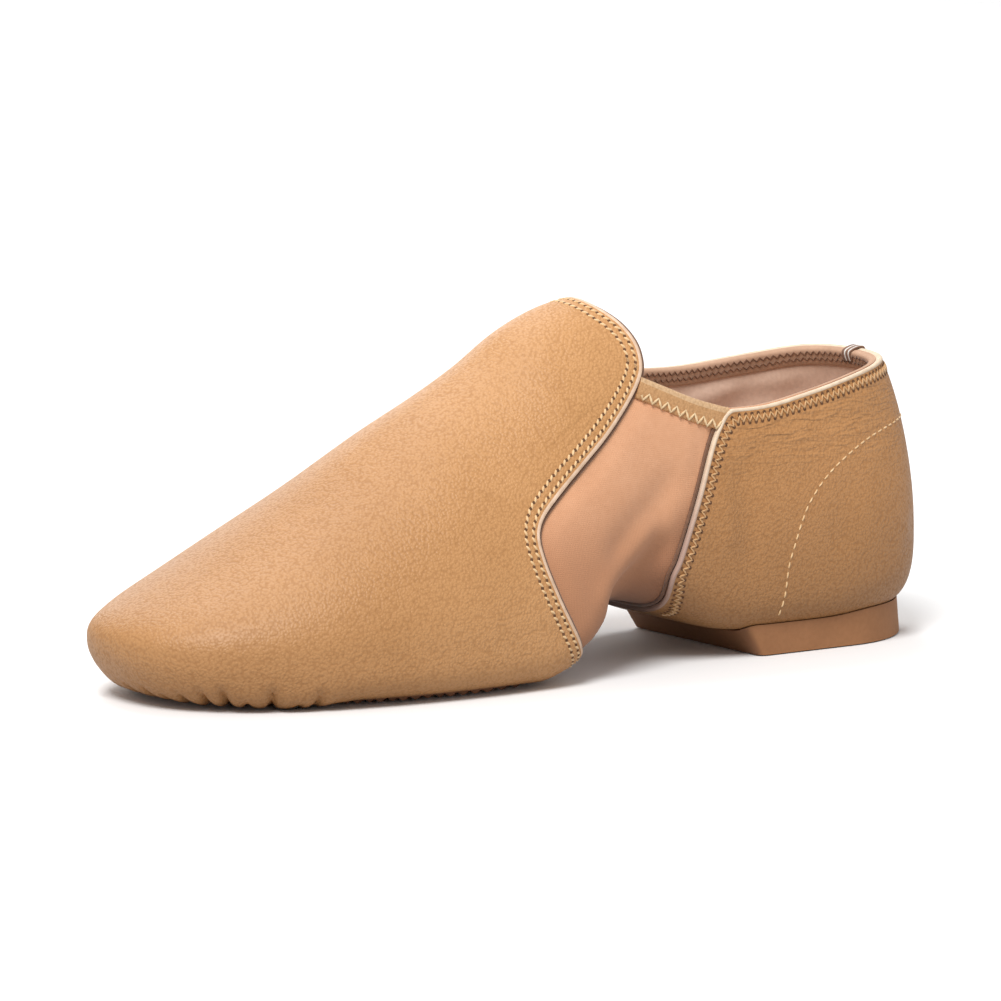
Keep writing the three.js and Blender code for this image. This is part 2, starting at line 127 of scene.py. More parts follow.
def last_net():
    """The last's points and normals on an even net: t counts the sections, a goes once round from below."""
    t = np.arange(end * net_rows + 1) / net_rows
    v = np.linspace(0, 1, 300)
    quarter_turn = v**5 / (v**5 + (1 - v) ** 5) * math.pi / 2
    turn = np.concatenate([quarter_turn, math.pi - quarter_turn[-2::-1]])
    points = np.zeros((len(t), net_around, 3))
    share = np.arange(net_around // 2 + 1) / (net_around // 2)
    for i, (x, width, shift, bottom, middle, top, low, high) in enumerate(section_at(t)):
        down = np.cos(turn)
        power = 2 / np.where(down > 0, low, high)
        y = width * np.abs(np.sin(turn)) ** power
        z = middle + np.where(down > 0, bottom - middle, top - middle) * np.abs(down) ** power
        run = np.concatenate([[0], np.cumsum(np.hypot(np.diff(y), np.diff(z)))])
        run = run / run[-1] if run[-1] > 1e-6 else turn / math.pi
        half = np.stack([np.interp(share, run, y), np.interp(share, run, z)], 1)
        points[i, :, 0] = x
        points[i, :, 1] = shift + np.concatenate([half[:, 0], -half[-2:0:-1, 0]])
        points[i, :, 2] = np.concatenate([half[:, 1], half[-2:0:-1, 1]])
    waves = np.fft.rfft(points, axis=1)
    wave = np.arange(waves.shape[1]) * 2 * math.pi * ridge_softness
    points = np.fft.irfft(waves * np.exp(-(wave**2) / 2)[None, :, None], net_around, axis=1)
    along = np.gradient(points, axis=0)
    around = np.roll(points, -1, 1) - np.roll(points, 1, 1)
    normals = unit(np.cross(around, along))
    normals[0], normals[-1] = (-1, 0, 0), (1, 0, 0)
    return np.concatenate([points, normals], 2)


net = last_net()


def surface(t, a, out=0.0):
    """Points of the last grown by out, and the normals there."""
    u = np.clip(t, 0, end) * net_rows
    v = np.mod(a, 1) * net_around
    i, j = np.clip(np.floor(u).astype(int), 0, end * net_rows - 1), np.floor(v).astype(int)
    found = 0

    def weights(f):
        return (
            (-f + 2 * f**2 - f**3) / 2,
            (2 - 5 * f**2 + 3 * f**3) / 2,
            (f + 4 * f**2 - 3 * f**3) / 2,
            (f**3 - f**2) / 2,
        )

    for m, wu in enumerate(weights(u - i)):
        row = np.clip(i + m - 1, 0, end * net_rows)
        for n, wv in enumerate(weights(v - j)):
            found = found + (wu * wv)[..., None] * net[row, (j + n - 1) % net_around]
    normal = unit(found[..., 3:])
    return found[..., :3] + normal * np.asarray(out)[..., None], normal


def smooth(points, steps=8):
    """A curve through points, as the shoe's pattern pieces are drawn."""
    p = np.asarray(points, float)
    p = np.vstack([p[:1], p, p[-1:]])
    f = (np.arange(steps) / steps)[None, :, None]
    curve = curve_between(p[:-3, None], p[1:-2, None], p[2:-1, None], p[3:, None], f)
    return np.vstack([curve.reshape(-1, p.shape[1]), p[-1:]])


def left_of(x, y, curve):
    """How far points lie to the left of a curve, in its plane."""
    best = np.full(np.shape(x), 1e9)
    signed = np.zeros(np.shape(x))
    for (px, py), (qx, qy) in zip(curve[:-1], curve[1:]):
        dx, dy = qx - px, qy - py
        f = np.clip(((x - px) * dx + (y - py) * dy) / (dx * dx + dy * dy), 0, 1)
        ox, oy = x - px - f * dx, y - py - f * dy
        reach = np.hypot(ox, oy)
        near = reach < best
        best = np.where(near, reach, best)
        signed = np.where(near, reach * np.where(dx * oy - dy * ox >= 0, 1, -1), signed)
    return signed


def spot(t, a, out=skin):
    """Where places lie, at some distance out from the last: x, y and z."""
    return np.moveaxis(surface(t, a, out)[0], -1, 0)


def side_curve(rows):
    return smooth(np.array(rows) * (shoe_length, instep_height))


vamp_curve = side_curve([
    (0.465, 1.2), (0.449, 1.04), (0.426, 0.975), (0.405, 0.91), (0.398, 0.84), (0.41, 0.765), (0.461, 0.65),
    (0.538, 0.51), (0.572, 0.43), (0.574, 0.35), (0.557, 0.235), (0.53, 0.12), (0.513, 0.04), (0.508, -0.1),
])
quarter_curve = side_curve([
    (0.306, 0.68), (0.329, 0.6), (0.354, 0.45), (0.379, 0.3), (0.387, 0.235), (0.378, 0.15), (0.365, 0.09),
    (0.355, -0.1),
])
# The topline: at, its height on the little-toe side and on the other, in shares of the collar's height
quarter_topline = smooth([
    (-0.05, 1.0, 1.0), (0.04, 0.995, 1.0), (0.112, 0.968, 0.96), (0.194, 0.918, 0.932), (0.255, 0.885, 0.935),
    (0.306, 0.88, 0.952),
])
arch_topline = smooth([(0.306, 0.88, 0.952), (0.346, 0.92, 0.975), (0.398, 0.995, 1.01), (0.418, 1.03, 1.03)])
collar_half = 0.75 * half_ball


def topline_height(x, y, line):
    outer, inner = (np.interp(x / shoe_length, line[:, 0], line[:, k]) * collar_height for k in (1, 2))
    return (outer + inner) / 2 + (outer - inner) / 2 * y / collar_half


def below_line(t, a, line):
    x, y, z = spot(t, a)
    here = topline_height(x, y, line)
    slope = topline_height(x + 1, y, line) - here
    return (here - z) / np.hypot(1, slope)


def collar_depth(t, a):
    """How far a place lies below the whole topline."""
    return below_line(t, a, np.vstack([quarter_topline, arch_topline[1:]]))


def vamp_depth(t, a):
    """How far a place lies in front of the vamp's rear edge."""
    x, y, z = spot(t, a)
    return left_of(x, z, vamp_curve)


def quarter_front(t, a):
    """How far a place lies behind the quarter's front edge."""
    x, y, z = spot(t, a)
    corner = quarter_curve[0]
    drop = topline_height(corner[0], y, quarter_topline) - corner[1]
    level = np.where(z < corner[1] + drop, z / (1 + drop / corner[1]), z - drop)
    return -left_of(x, np.where(z < 0, z, level), quarter_curve)


def quarter_depth(t, a):
    """How far a place lies within the quarter's edge, with its top corners a little rounded."""
    top, front = below_line(t, a, quarter_topline), quarter_front(t, a)
    corner = 2.0
    blend = np.clip(corner - np.abs(top - front), 0, corner) ** 2 / (4 * corner)
    return np.minimum(top, front) - blend


def sock_depth(t, a):
    return np.maximum(collar_depth(t, a), vamp_depth(t, a) - seam)


def slopes(t, a, out=skin, step=1e-3):
    along = (surface(t + step, a, out)[0] - surface(t - step, a, out)[0]) / (2 * step)
    around = (surface(t, a + step, out)[0] - surface(t, a - step, out)[0]) / (2 * step)
    return along, around


def settle(t, a, field, level=0.0, turns=4):
    """Moves places to where a field has some level."""
    step = 2e-3
    for _ in range(turns):
        along, around = slopes(t, a)
        e, g = np.sum(along**2, -1), np.sum(around**2, -1)
        here = field(t, a) - level
        by_t = (field(t + step, a) - field(t - step, a)) / (2 * step)
        by_a = (field(t, a + step) - field(t, a - step)) / (2 * step)
        pull = np.clip(here, -2, 2) / np.maximum(by_t**2 / e + by_a**2 / g, 0.2)
        t, a = np.clip(t - pull * by_t / e, 0.02, end - 0.02), a - pull * by_a / g
    return t, a


side_shift = float(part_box("heel")[0][1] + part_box("heel")[1][1]) / 2


def placed(points):
    """Millimetres on the last as metres in the frame."""
    return np.asarray(points) * 0.001 + (-shoe_length / 2000, side_shift, 0)


def linked(name, data):
    made = bpy.data.objects.new(name, data)
    bpy.context.scene.collection.objects.link(made)
    return made


def part(piece, slot, *nodes):
    """A piece of the shoe's one body and the frame's nodes that it stands for; its material slot is not used.
    """
    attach(piece, "root")
    if nodes:
        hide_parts(*nodes)


def mesh_piece(name, points, faces, materials, face_material=None, sharp=None):
    mesh = bpy.data.meshes.new(name)
    mesh.from_pydata(placed(points).tolist(), [], faces)
    for material in materials:
        mesh.materials.append(material)
    if face_material is not None:
        mesh.polygons.foreach_set("material_index", np.asarray(face_material, np.int32))
    mesh.shade_smooth()
    if sharp:
        mesh.set_sharp_from_angle(angle=math.radians(sharp))
    mesh.update()
    return linked(name, mesh)


# How far outside a wall's edge its places are still drawn in to it, for a step of one section
rim_reach = 2.4


def shell(name, field, t_range, t_step, around, high, low, materials):
    """A wall over the part of the last where field is above 0; high and low give how far out its faces lie."""
    t = np.arange(t_range[0], t_range[1] + t_step / 2, t_step)
    t, a = np.meshgrid(t, np.arange(around) / around, indexing="ij")
    depth = field(t, a)
    kept = depth > -rim_reach * t_step
    whole = kept[:-1] & kept[1:]
    whole &= np.roll(whole, -1, 1)
    rows, columns = t.shape
    index = np.arange(rows * columns).reshape(rows, columns)
    for row, place in ((0, 0), (-1, end)):
        if abs(t[row, 0] - place) < 1e-6:
            index[row] = index[row, 0]
    i, j = np.nonzero(whole)
    k = (j + 1) % columns
    faces = np.stack([index[i, j], index[i, k], index[i + 1, k], index[i + 1, j]], 1)
    edges = np.stack([faces, np.roll(faces, -1, 1)], 2).reshape(-1, 2)
    edges = edges[edges[:, 0] != edges[:, 1]]
    code = edges[:, 0] * rows * columns + edges[:, 1]
    back = edges[:, 1] * rows * columns + edges[:, 0]
    rim = edges[~np.isin(code, back)]
    t, a = t.ravel(), a.ravel()
    on_rim = np.unique(rim)
    t[on_rim], a[on_rim] = settle(t[on_rim], a[on_rim], field)
    used = np.unique(faces)
    renumber = np.zeros(rows * columns, int)
    renumber[used] = np.arange(len(used))
    t, a = t[used], a[used]
    faces, rim, count = renumber[faces], renumber[rim], len(used)
    outer, inner = surface(t, a, high(t, a))[0], surface(t, a, low(t, a))[0]
    turned = faces[:, ::-1] + count
    closing = np.stack([rim[:, 1], rim[:, 0], rim[:, 0] + count, rim[:, 1] + count], 1)
    whole_list = [list(dict.fromkeys(f)) for f in np.vstack([faces, turned, closing]).tolist()]
    kinds = [0] * len(faces) + [1] * len(turned) + [2] * len(closing)
    kinds = [min(kind, len(materials) - 1) for kind in kinds]
    return mesh_piece(name, np.vstack([outer, inner]), whole_list, materials, kinds, sharp=50)


def shader(name, color, roughness, **sockets):
    """A new material; numbers that are the same all over the surface go straight on its sockets."""
    made = bpy.data.materials.new(name)
    made.use_nodes = True
    bsdf = made.node_tree.nodes["Principled BSDF"]
    bsdf.inputs["Base Color"].default_value = (*color, 1)
    bsdf.inputs["Roughness"].default_value = roughness
    for socket, value in sockets.items():
        bsdf.inputs[socket.replace("_", " ")].default_value = value
    return made


def node(tree, kind, links=None, **values):
    """A node in a tree: values are its properties or its inputs' values, links feed its inputs."""
    made = tree.nodes.new(kind)
    for key, value in values.items():
        if key in made.bl_rna.properties:
            setattr(made, key, value)
        else:
            made.inputs[key.replace("_", " ")].default_value = value
    for key, source in (links or {}).items():
        tree.links.new(source, made.inputs[key])
    return made


def group_tree(name, inputs, outputs):
    tree = bpy.data.node_groups.new(name, "ShaderNodeTree")
    for label, kind, value in inputs:
        socket = tree.interface.new_socket(label, in_out="INPUT", socket_type=kind)
        if value is not None:
            socket.default_value = value
    for label, kind in outputs:
        tree.interface.new_socket(label, in_out="OUTPUT", socket_type=kind)
    return tree, tree.nodes.new("NodeGroupInput").outputs, tree.nodes.new("NodeGroupOutput").inputs


def math_node(tree, operation, first, second=0.5, third=None):
    made = tree.nodes.new("ShaderNodeMath")
    made.operation = operation
    for i, value in enumerate((first, second, third)):
        if value is None:
            continue
        if isinstance(value, (int, float)):
            made.inputs[i].default_value = value
        else:
            tree.links.new(value, made.inputs[i])
    return made.outputs[0]


def mix_color(tree, factor, first, second, blend="MIX"):
    made = tree.nodes.new("ShaderNodeMix")
    made.data_type, made.blend_type = "RGBA", blend
    for i, value in ((0, factor), (6, first), (7, second)):
        if isinstance(value, (int, float)):
            made.inputs[i].default_value = value
        elif isinstance(value, tuple):
            made.inputs[i].default_value = (*value, 1)
        else:
            tree.links.new(value, made.inputs[i])
    return made.outputs[2]


def mottle_group():
    """Slow and fine patches of tone, as handling and dye leave them on cloth, leather and rubber."""
    tree, given, out = group_tree(
        "Mottle",
        [("Vector", "NodeSocketVector", None), ("Size", "NodeSocketFloat", 40.0)],
        [("Slow", "NodeSocketFloat"), ("Fine", "NodeSocketFloat")],
    )
    slow = node(tree, "ShaderNodeTexNoise", {"Vector": given["Vector"], "Scale": given["Size"]}, Detail=3.0)
    finer = math_node(tree, "MULTIPLY", given["Size"], 12.0)
    fine = node(tree, "ShaderNodeTexNoise", {"Vector": given["Vector"], "Scale": finer}, Detail=4.0)
    tree.links.new(slow.outputs["Fac"], out["Slow"])
    tree.links.new(fine.outputs["Fac"], out["Fine"])
    return tree


mottle = mottle_group()


def place_of(tree):
    return tree.nodes.new("ShaderNodeTexCoord").outputs["Object"]


def ranged(tree, value, low, high, form="SMOOTHSTEP"):
    """0 where a value is low, 1 where it is high, and even or smooth between."""
    made = node(tree, "ShaderNodeMapRange", {"Value": value}, interpolation_type=form)
    made.inputs["From Min"].default_value, made.inputs["From Max"].default_value = low, high
    return made.outputs[0]


def along_axis(tree, axis, low, high, form="SMOOTHSTEP"):
    """0 to 1 between two places on one of the frame's axes, in metres."""
    split = node(tree, "ShaderNodeSeparateXYZ", {0: place_of(tree)})
    return ranged(tree, split.outputs[axis], low, high, form)


def colored(made, color):
    made.node_tree.links.new(color, made.node_tree.nodes["Principled BSDF"].inputs["Base Color"])


def toned(made, dark, light, size=40.0, fine=0.35):
    """Base colour between two tones by the mottle; gives the group's node back."""
    tree = made.node_tree
    patches = node(tree, "ShaderNodeGroup", node_tree=mottle)
    tree.links.new(place_of(tree), patches.inputs["Vector"])
    patches.inputs["Size"].default_value = size
    both = math_node(tree, "MULTIPLY", patches.outputs["Fine"], fine)
    both = math_node(tree, "MULTIPLY_ADD", patches.outputs["Slow"], 1 - fine, both)
    color = mix_color(tree, ranged(tree, both, 0.35, 0.65, "LINEAR"), dark, light)
    colored(made, color)
    return color, patches


def bumped(made, height, distance, strength=1.0):
    tree = made.node_tree
    bump = node(tree, "ShaderNodeBump", {"Height": height}, Strength=strength, Distance=distance)
    tree.links.new(bump.outputs["Normal"], tree.nodes["Principled BSDF"].inputs["Normal"])
    return bump


# Painted shade darkens the cloth below the arch's fold: the way down from it, and where on that way the
# shade begins and is full, in metres
fold_down, shade_from, shade_to = (-0.6, 0.0, -0.8), -0.0185, -0.004


def stretch_cloth():
    """Neoprene faced with fine jersey: matt, with a faint bloom and knit loops of half a millimetre."""
    made = shader("stretch_cloth", (0.66, 0.34, 0.18), 0.8, Sheen_Weight=0.12, Sheen_Roughness=0.5)
    tree = made.node_tree
    color = toned(made, (0.66, 0.325, 0.17), (0.74, 0.385, 0.215), 45.0)[0]
    place = place_of(tree)
    # The cloth's colour gets painted shade: darker below the arch's fold, and darker and browner towards the
    # bottom of the arch.
    below_fold = node(tree, "ShaderNodeVectorMath", {0: place}, operation="DOT_PRODUCT")
    below_fold.inputs[1].default_value = fold_down
    fold_shade = ranged(tree, below_fold.outputs["Value"], shade_from, shade_to)
    color = mix_color(tree, along_axis(tree, 2, 0.052, 0.028), color, (0.5, 0.23, 0.115))
    colored(made, mix_color(tree, fold_shade, color, (0.32, 0.14, 0.07)))
    knit = [
        node(tree, "ShaderNodeTexWave", {"Vector": place}, Scale=scale, Distortion=1.2, Detail=1.0,
             bands_direction=axis)
        for scale, axis in ((620.0, "X"), (620.0, "Z"))
    ]
    height = math_node(tree, "MULTIPLY", knit[0].outputs["Fac"], knit[1].outputs["Fac"])
    bumped(made, height, 0.00008, 0.6)
    return made


def satin_lining():
    """Smooth pinkish satin with a soft gloss and threads too fine to see."""
    made = shader("satin_lining", (0.74, 0.5, 0.38), 0.46, Sheen_Weight=0.2)
    patches = toned(made, (0.6, 0.39, 0.28), (0.78, 0.55, 0.42), 60.0)[1]
    bumped(made, patches.outputs["Fine"], 0.0001, 0.4)
    return made


def hem_cloth():
    made = shader("hem_cloth", (0.45, 0.25, 0.15), 0.8)
    toned(made, (0.46, 0.27, 0.17), (0.58, 0.36, 0.24), 80.0)
    return made


cloth, satin, hem = stretch_cloth(), satin_lining(), hem_cloth()


def flat_gap(t, a):
    """How far a place in the arch lies from the nearer leather edge; below 0 under the leather."""
    return np.minimum(-vamp_depth(t, a), -quarter_depth(t, a))


def crease(points, line, width, height):
    """A soft ridge along a line of points, or a trough where its height is below 0; it fades at both ends."""
    line = smooth(line, 4)
    best, run, total = np.full(points.shape[:-1], 1e9), np.zeros(points.shape[:-1]), 0.0
    lengths = np.linalg.norm(np.diff(line, axis=0), axis=1)
    for p, q, length in zip(line[:-1], line[1:], lengths):
        f = np.clip(np.sum((points - p) * (q - p), -1) / length**2, 0, 1)
        reach = np.linalg.norm(points - p - f[..., None] * (q - p), axis=-1)
        run = np.where(reach < best, total + f * length, run)
        best = np.minimum(best, reach)
        total += length
    fade = ease(run / (0.25 * total)) * ease((total - run) / (0.25 * total))
    return height * fade * np.exp(-((best / width) ** 2))


# The arch is drawn tight between the leather parts: a ridge runs up across it, and the cloth behind the ridge
# sinks in. Each fold is a line of points, its width and its height.
arch_folds = [
    ([(127, 38, 17), (119, 37, 25.9), (113, 35.5, 30.5), (107.5, 34, 34.2), (102, 33, 38.3),
      (96.4, 32, 42.8)], 3.4, 0.9),
    ([(122, 37, 29), (112.8, 35, 35.8), (107.7, 33.7, 39.9), (101.3, 32, 43.9), (96, 31, 48.1),
      (88, 31, 54)], 4.8, -1.3),
    ([(118, 36, 15), (111, 33, 22), (105, 33, 27), (99, 32.4, 31), (92, 31.8, 36)], 6.5, -3.0),
    ([(122, -38, 18), (112, -36, 28), (101, -33, 36), (90, -31, 43)], 4.5, 0.9),
    ([(112, -35, 18), (105, -34, 26), (97, -33, 32), (90, -32, 36)], 6.0, -1.9),
    ([(128, 33, 52), (120, 33, 58), (112, 32, 66)], 5.0, -0.5),
]


fold_fade, swell, swell_reach, hem_reach, wrinkle_depth = 5.0, 0.8, 7.0, 8.0, 1.5


def arch_fold(t, a):
    points, gap = surface(t, a, sock_wall)[0], flat_gap(t, a)
    return sum(crease(points, *fold) for fold in arch_folds) * ease(gap / fold_fade)


def sock_out(t, a):
    """The stretch cloth swells a little between the leather parts and is flat under them."""
    swollen = swell * ease(flat_gap(t, a) / swell_reach) * ease(collar_depth(t, a) / hem_reach)
    return sock_wall + swollen + arch_fold(t, a)


def sock_in(t, a):
    """The lining's soft wrinkles, none at the rim or under the insole, and the arch's folds from within."""
    x, y, z = spot(t, a, 0.0)
    wave = np.sin(x / 4.1 + z / 9 + 1.4 * np.sin(z / 7.3 + y / 15)) * np.sin(z / 5.2 + 1.1 * np.sin(x / 8.7))
    wrinkle = -wrinkle_depth * (0.5 + 0.5 * wave) * ease((collar_depth(t, a) - 5) / 4) * ease((z - 22) / 12)
    return wrinkle + arch_fold(t, a)


sock = shell("sock", sock_depth, (0, end), 1 / 12, 236, sock_out, sock_in, [cloth, satin, hem])
part(sock, "stretch_cloth", "upper")

# The vamp: one piece of soft pebbled leather from the toe up to the tongue. Its rear edge is cut raw, and
# its front is gathered in small pleats where it turns in under the sole patch.


def leather_grain():
    """Soft calf leather: low uneven pebbles of about a millimetre, with small pits between them."""
    tree, given, out = group_tree(
        "Leather grain",
        [("Vector", "NodeSocketVector", None), ("Pebbles", "NodeSocketFloat", 1300.0)],
        [("Height", "NodeSocketFloat"), ("Pit", "NodeSocketFloat")],
    )
    shake = node(tree, "ShaderNodeTexNoise", {"Vector": given["Vector"]}, Scale=500.0, Detail=1.0)
    moved = tree.nodes.new("ShaderNodeVectorMath")
    moved.operation = "MULTIPLY_ADD"
    tree.links.new(shake.outputs["Color"], moved.inputs[0])
    moved.inputs[1].default_value = (0.0005, 0.0005, 0.0005)
    tree.links.new(given["Vector"], moved.inputs[2])
    cells = node(
        tree, "ShaderNodeTexVoronoi", {"Vector": moved.outputs[0], "Scale": given["Pebbles"]},
        feature="SMOOTH_F1", Smoothness=0.6,
    )
    fine = math_node(tree, "MULTIPLY", given["Pebbles"], 1.9)
    crumb = node(tree, "ShaderNodeTexNoise", {"Vector": given["Vector"], "Scale": fine}, Detail=2.0)
    height = math_node(tree, "MULTIPLY_ADD", crumb.outputs["Fac"], 0.5, math_node(
        tree, "MULTIPLY", cells.outputs["Distance"], -1.0))
    tree.links.new(height, out["Height"])
    tree.links.new(ranged(tree, height, -0.5, -0.1), out["Pit"])
    return tree


grain_tree = leather_grain()


def tan_leather(name, dark, light, pebbles=1300.0, depth=0.00024, shaded_toe=False, low_shade_and_wrinkles=False):
    """Leather in two close tones.

    Painted light and shade: one piece is paler behind and darker at the toe, another is darker low down, and
    that one is finely wrinkled higher up.
    """
    made = shader(name, light, 0.5, Coat_Roughness=0.4)
    tree = made.node_tree
    color, patches = toned(made, dark, light, 22.0, 0.25)
    grain = node(tree, "ShaderNodeGroup", {}, node_tree=grain_tree)
    tree.links.new(place_of(tree), grain.inputs["Vector"])
    grain.inputs["Pebbles"].default_value = pebbles
    height = grain.outputs["Height"]
    if shaded_toe:
        # Painted light and shade along the foot: paler towards the rear, darker at the toe.
        toe_light_and_shade = mix_color(tree, along_axis(tree, 0, -0.02, 0.11), (1.08, 1.12, 1.18), (0.83, 0.83, 0.83))
        color = mix_color(tree, 1.0, color, toe_light_and_shade, "MULTIPLY")
    if low_shade_and_wrinkles:
        # Painted shade: the leather goes darker towards the floor.
        low_shade = tuple(v * 0.8 for v in dark)
        color = mix_color(tree, along_axis(tree, 2, 0.01, 0.05), low_shade, color)
        flat = node(tree, "ShaderNodeVectorMath", {0: place_of(tree)}, operation="MULTIPLY")
        flat.inputs[1].default_value = (0.2, 0.2, 1.0)
        lines = node(tree, "ShaderNodeTexNoise", {"Vector": flat.outputs[0]},
                     Scale=700.0, Detail=1.0, Distortion=0.6)
        lines = math_node(tree, "MULTIPLY", lines.outputs["Fac"], along_axis(tree, 2, 0.044, 0.062))
        height = math_node(tree, "MULTIPLY_ADD", lines, 4.5, height)
    # Painted shade: the grain's pits are a little darker.
    pit_shade = mix_color(tree, 1.0, color, (0.86, 0.83, 0.8), "MULTIPLY")
    pitted = mix_color(tree, grain.outputs["Pit"], pit_shade, color)
    bsdf = tree.nodes["Principled BSDF"]
    tree.links.new(pitted, bsdf.inputs["Base Color"])
    rough = math_node(tree, "MULTIPLY_ADD", grain.outputs["Pit"], -0.08, 0.52)
    rough = math_node(tree, "MULTIPLY_ADD", patches.outputs["Fine"], 0.08, rough)
    tree.links.new(rough, bsdf.inputs["Roughness"])
    coat = math_node(tree, "MULTIPLY", grain.outputs["Pit"], 0.18)
    tree.links.new(coat, bsdf.inputs["Coat Weight"])
    bumped(made, height, depth, 0.8)
    return made


def raw_edge():
    made = shader("raw_edge", (0.72, 0.5, 0.37), 0.85)
    toned(made, (0.64, 0.44, 0.3), (0.84, 0.61, 0.45), 400.0)
    return made


tan = tan_leather("tan_leather", (0.51, 0.243, 0.082), (0.58, 0.287, 0.106), shaded_toe=True)
edge_tan = raw_edge()

# The rows of places beside the cut, in millimetres from it; the first five show the raw edge
edge_rows = np.array([
    0, 0.1, 0.3, 0.5, 0.7, 1.0, 1.4, 1.8, 2.0, 2.2, 2.6, 3.1, 3.6, 4.0, 4.2, 4.4, 4.8, 5.6, 6.8,
])
vamp_around, edge_reach, pale_rows = 330, 9.0, 5
stitch_rows = (2.0, 4.2)


def travelled(points):
    """The way along a row of points to each of them."""
    return np.concatenate([[0], np.cumsum(np.linalg.norm(np.diff(points, axis=0), axis=1))])


def vamp_places():
    """Rows of places from the vamp's edge to the toe: first by their distance from it, then along the foot."""
    a = np.arange(vamp_around) / vamp_around
    fine = np.linspace(6.5, end, 700)
    t, across = np.meshgrid(fine, a, indexing="ij")
    depth = vamp_depth(t, across)
    points = surface(t, across, skin)[0]
    columns = []
    toward_toe = np.linspace(0, 1, 150)
    toward_toe = mix(toward_toe, 1 - (1 - toward_toe) ** 2, 0.55)
    for j in range(vamp_around):
        first = np.nonzero(depth[:, j] < 0)[0][-1]
        here = depth[first:, j]
        rising = np.maximum.accumulate(here)
        near = np.interp(np.append(edge_rows, edge_reach), rising, fine[first:])
        run = travelled(points[:, j])
        start = np.interp(near[-1], fine, run)
        far = np.interp(mix(start, run[-1], toward_toe), run, fine)
        far[-1] = end
        columns.append(np.concatenate([near[:-1], far]))
    t = np.array(columns).T
    return t, np.broadcast_to(a, t.shape)


# The patch's outline from above, in shares of the shoe's length and half its width
patch_curve = smooth(np.array([
    (0.55, 0.0), (0.556, 0.42), (0.58, 0.7), (0.63, 0.81), (0.705, 0.79), (0.78, 0.7), (0.855, 0.53),
    (0.91, 0.31), (0.938, 0.06), (0.945, -0.18), (0.928, -0.45), (0.888, -0.67), (0.825, -0.82),
    (0.735, -0.88), (0.645, -0.86), (0.59, -0.72), (0.56, -0.43), (0.55, 0.0),
]) * (shoe_length, ball_width / 2))


def patch_depth(t, a):
    """How far a place on the underside lies within the sole patch's outline, seen from above."""
    x, y, z = spot(t, a, under_skin)
    return np.where(surface(t, a)[1][..., 2] < 0, left_of(x, y, patch_curve[::-1]), -60.0)


pleat_center, pleat_pitch, pleat_span, pleat_middle = (198.0, -7.0), 5.0, math.radians(100), 0.12
groove_width, groove_depth, fold_width, fold_drop = 0.7, 1.15, 1.9, 0.6


def pleats(x, y, z):
    """Folds like rays round the toe, sharp between and rounded on top, that fade as the leather turns up."""
    turn = np.arctan2(patch_curve[:-1, 1] - pleat_center[1], patch_curve[:-1, 0] - pleat_center[0])
    order = np.argsort(turn)
    turn, outline = turn[order], patch_curve[:-1][order]
    run = travelled(outline) / pleat_pitch
    here = np.arctan2(y - pleat_center[1], x - pleat_center[0])
    place = np.interp(here, turn, run)
    rng = np.random.default_rng(7)
    shake, tall = rng.uniform(-0.22, 0.22, 80), rng.uniform(5.5, 9.5, 80)
    number = np.floor(place).astype(int)
    groove, valley = np.zeros(place.shape), np.zeros(place.shape)
    for near in (number - 1, number, number + 1, number + 2):
        off = (place - near - shake[near]) * pleat_pitch
        fade = ease((tall[near] - z) / 4.5)
        groove = np.maximum(groove, fade * np.exp(-((off / groove_width) ** 2)))
        valley = np.maximum(valley, fade * np.exp(-((off / fold_width) ** 2)))
    ends = ease((pleat_span - np.abs(here - pleat_middle)) / 0.35)
    return ends * (0.4 * ease((9 - z) / 5) - fold_drop * valley - groove_depth * groove)


def vamp_out(t, a):
    """The leather's outer face: rounded at the cut, drawn in along the needle rows, pleated under the toe."""
    depth = vamp_depth(t, a)
    x, y, z = spot(t, a)
    out = skin - 0.25 * np.exp(-((depth / 0.25) ** 2)) + pleats(x, y, z) * ease((x - 198) / 10)
    for row in stitch_rows:
        out = out - 0.12 * np.exp(-(((depth - row) / 0.5) ** 2))
    return out


t, a = vamp_places()
outer = surface(t, a, vamp_out(t, a))[0]
# Round the patch the leather bulges down nearly to the floor, most of all at the toe
x, y, z = np.moveaxis(outer, -1, 0)
bulge = mix(0.7, 2.1, ease((x - 192) / 15)) * ease((-patch_depth(t, a) - 0.1) / 1.3)
bulge = bulge * ease((11 - z) / 8) * ease((vamp_depth(t, a) - 6) / 8)
floor_gap = 0.15
outer[..., 2] = np.maximum(z - bulge, np.minimum(z, floor_gap))
inner_rows = np.unique(np.concatenate([[0, 3, 8], np.arange(18, len(t), 12), [len(t) - 1]]))
inner = surface(t[inner_rows], a[inner_rows], sock_wall + seam)[0]


def net_faces(rows, columns, first=0, turned=False, ring=False, wrap=True):
    """Faces between rows of points; wrap closes each row, and a ring joins the last row to the first."""
    faces = []
    for i in range(rows if ring else rows - 1):
        for j in range(columns if wrap else columns - 1):
            m, n = (i + 1) % rows, (j + 1) % columns
            face = [first + r * columns + c for r, c in ((i, j), (i, n), (m, n), (m, j))]
            faces.append(face[::-1] if turned else face)
    return faces


def vamp_faces(outer_rows, inner_rows):
    """Faces over the outer rows to the toe's tip, over the inner ones, and between their first rows."""
    faces = []
    for base, count, turned in ((0, outer_rows, False), (outer_rows * vamp_around, inner_rows, True)):
        faces += net_faces(count - 1, vamp_around, base, turned)
        last = base + (count - 2) * vamp_around
        tips = [[last + j, last + (j + 1) % vamp_around, last + vamp_around] for j in range(vamp_around)]
        faces += [tip[::-1] for tip in tips] if turned else tips
    below = outer_rows * vamp_around
    rim = [((j + 1) % vamp_around, j) for j in range(vamp_around)]
    return faces + [[k, j, below + j, below + k] for k, j in rim]


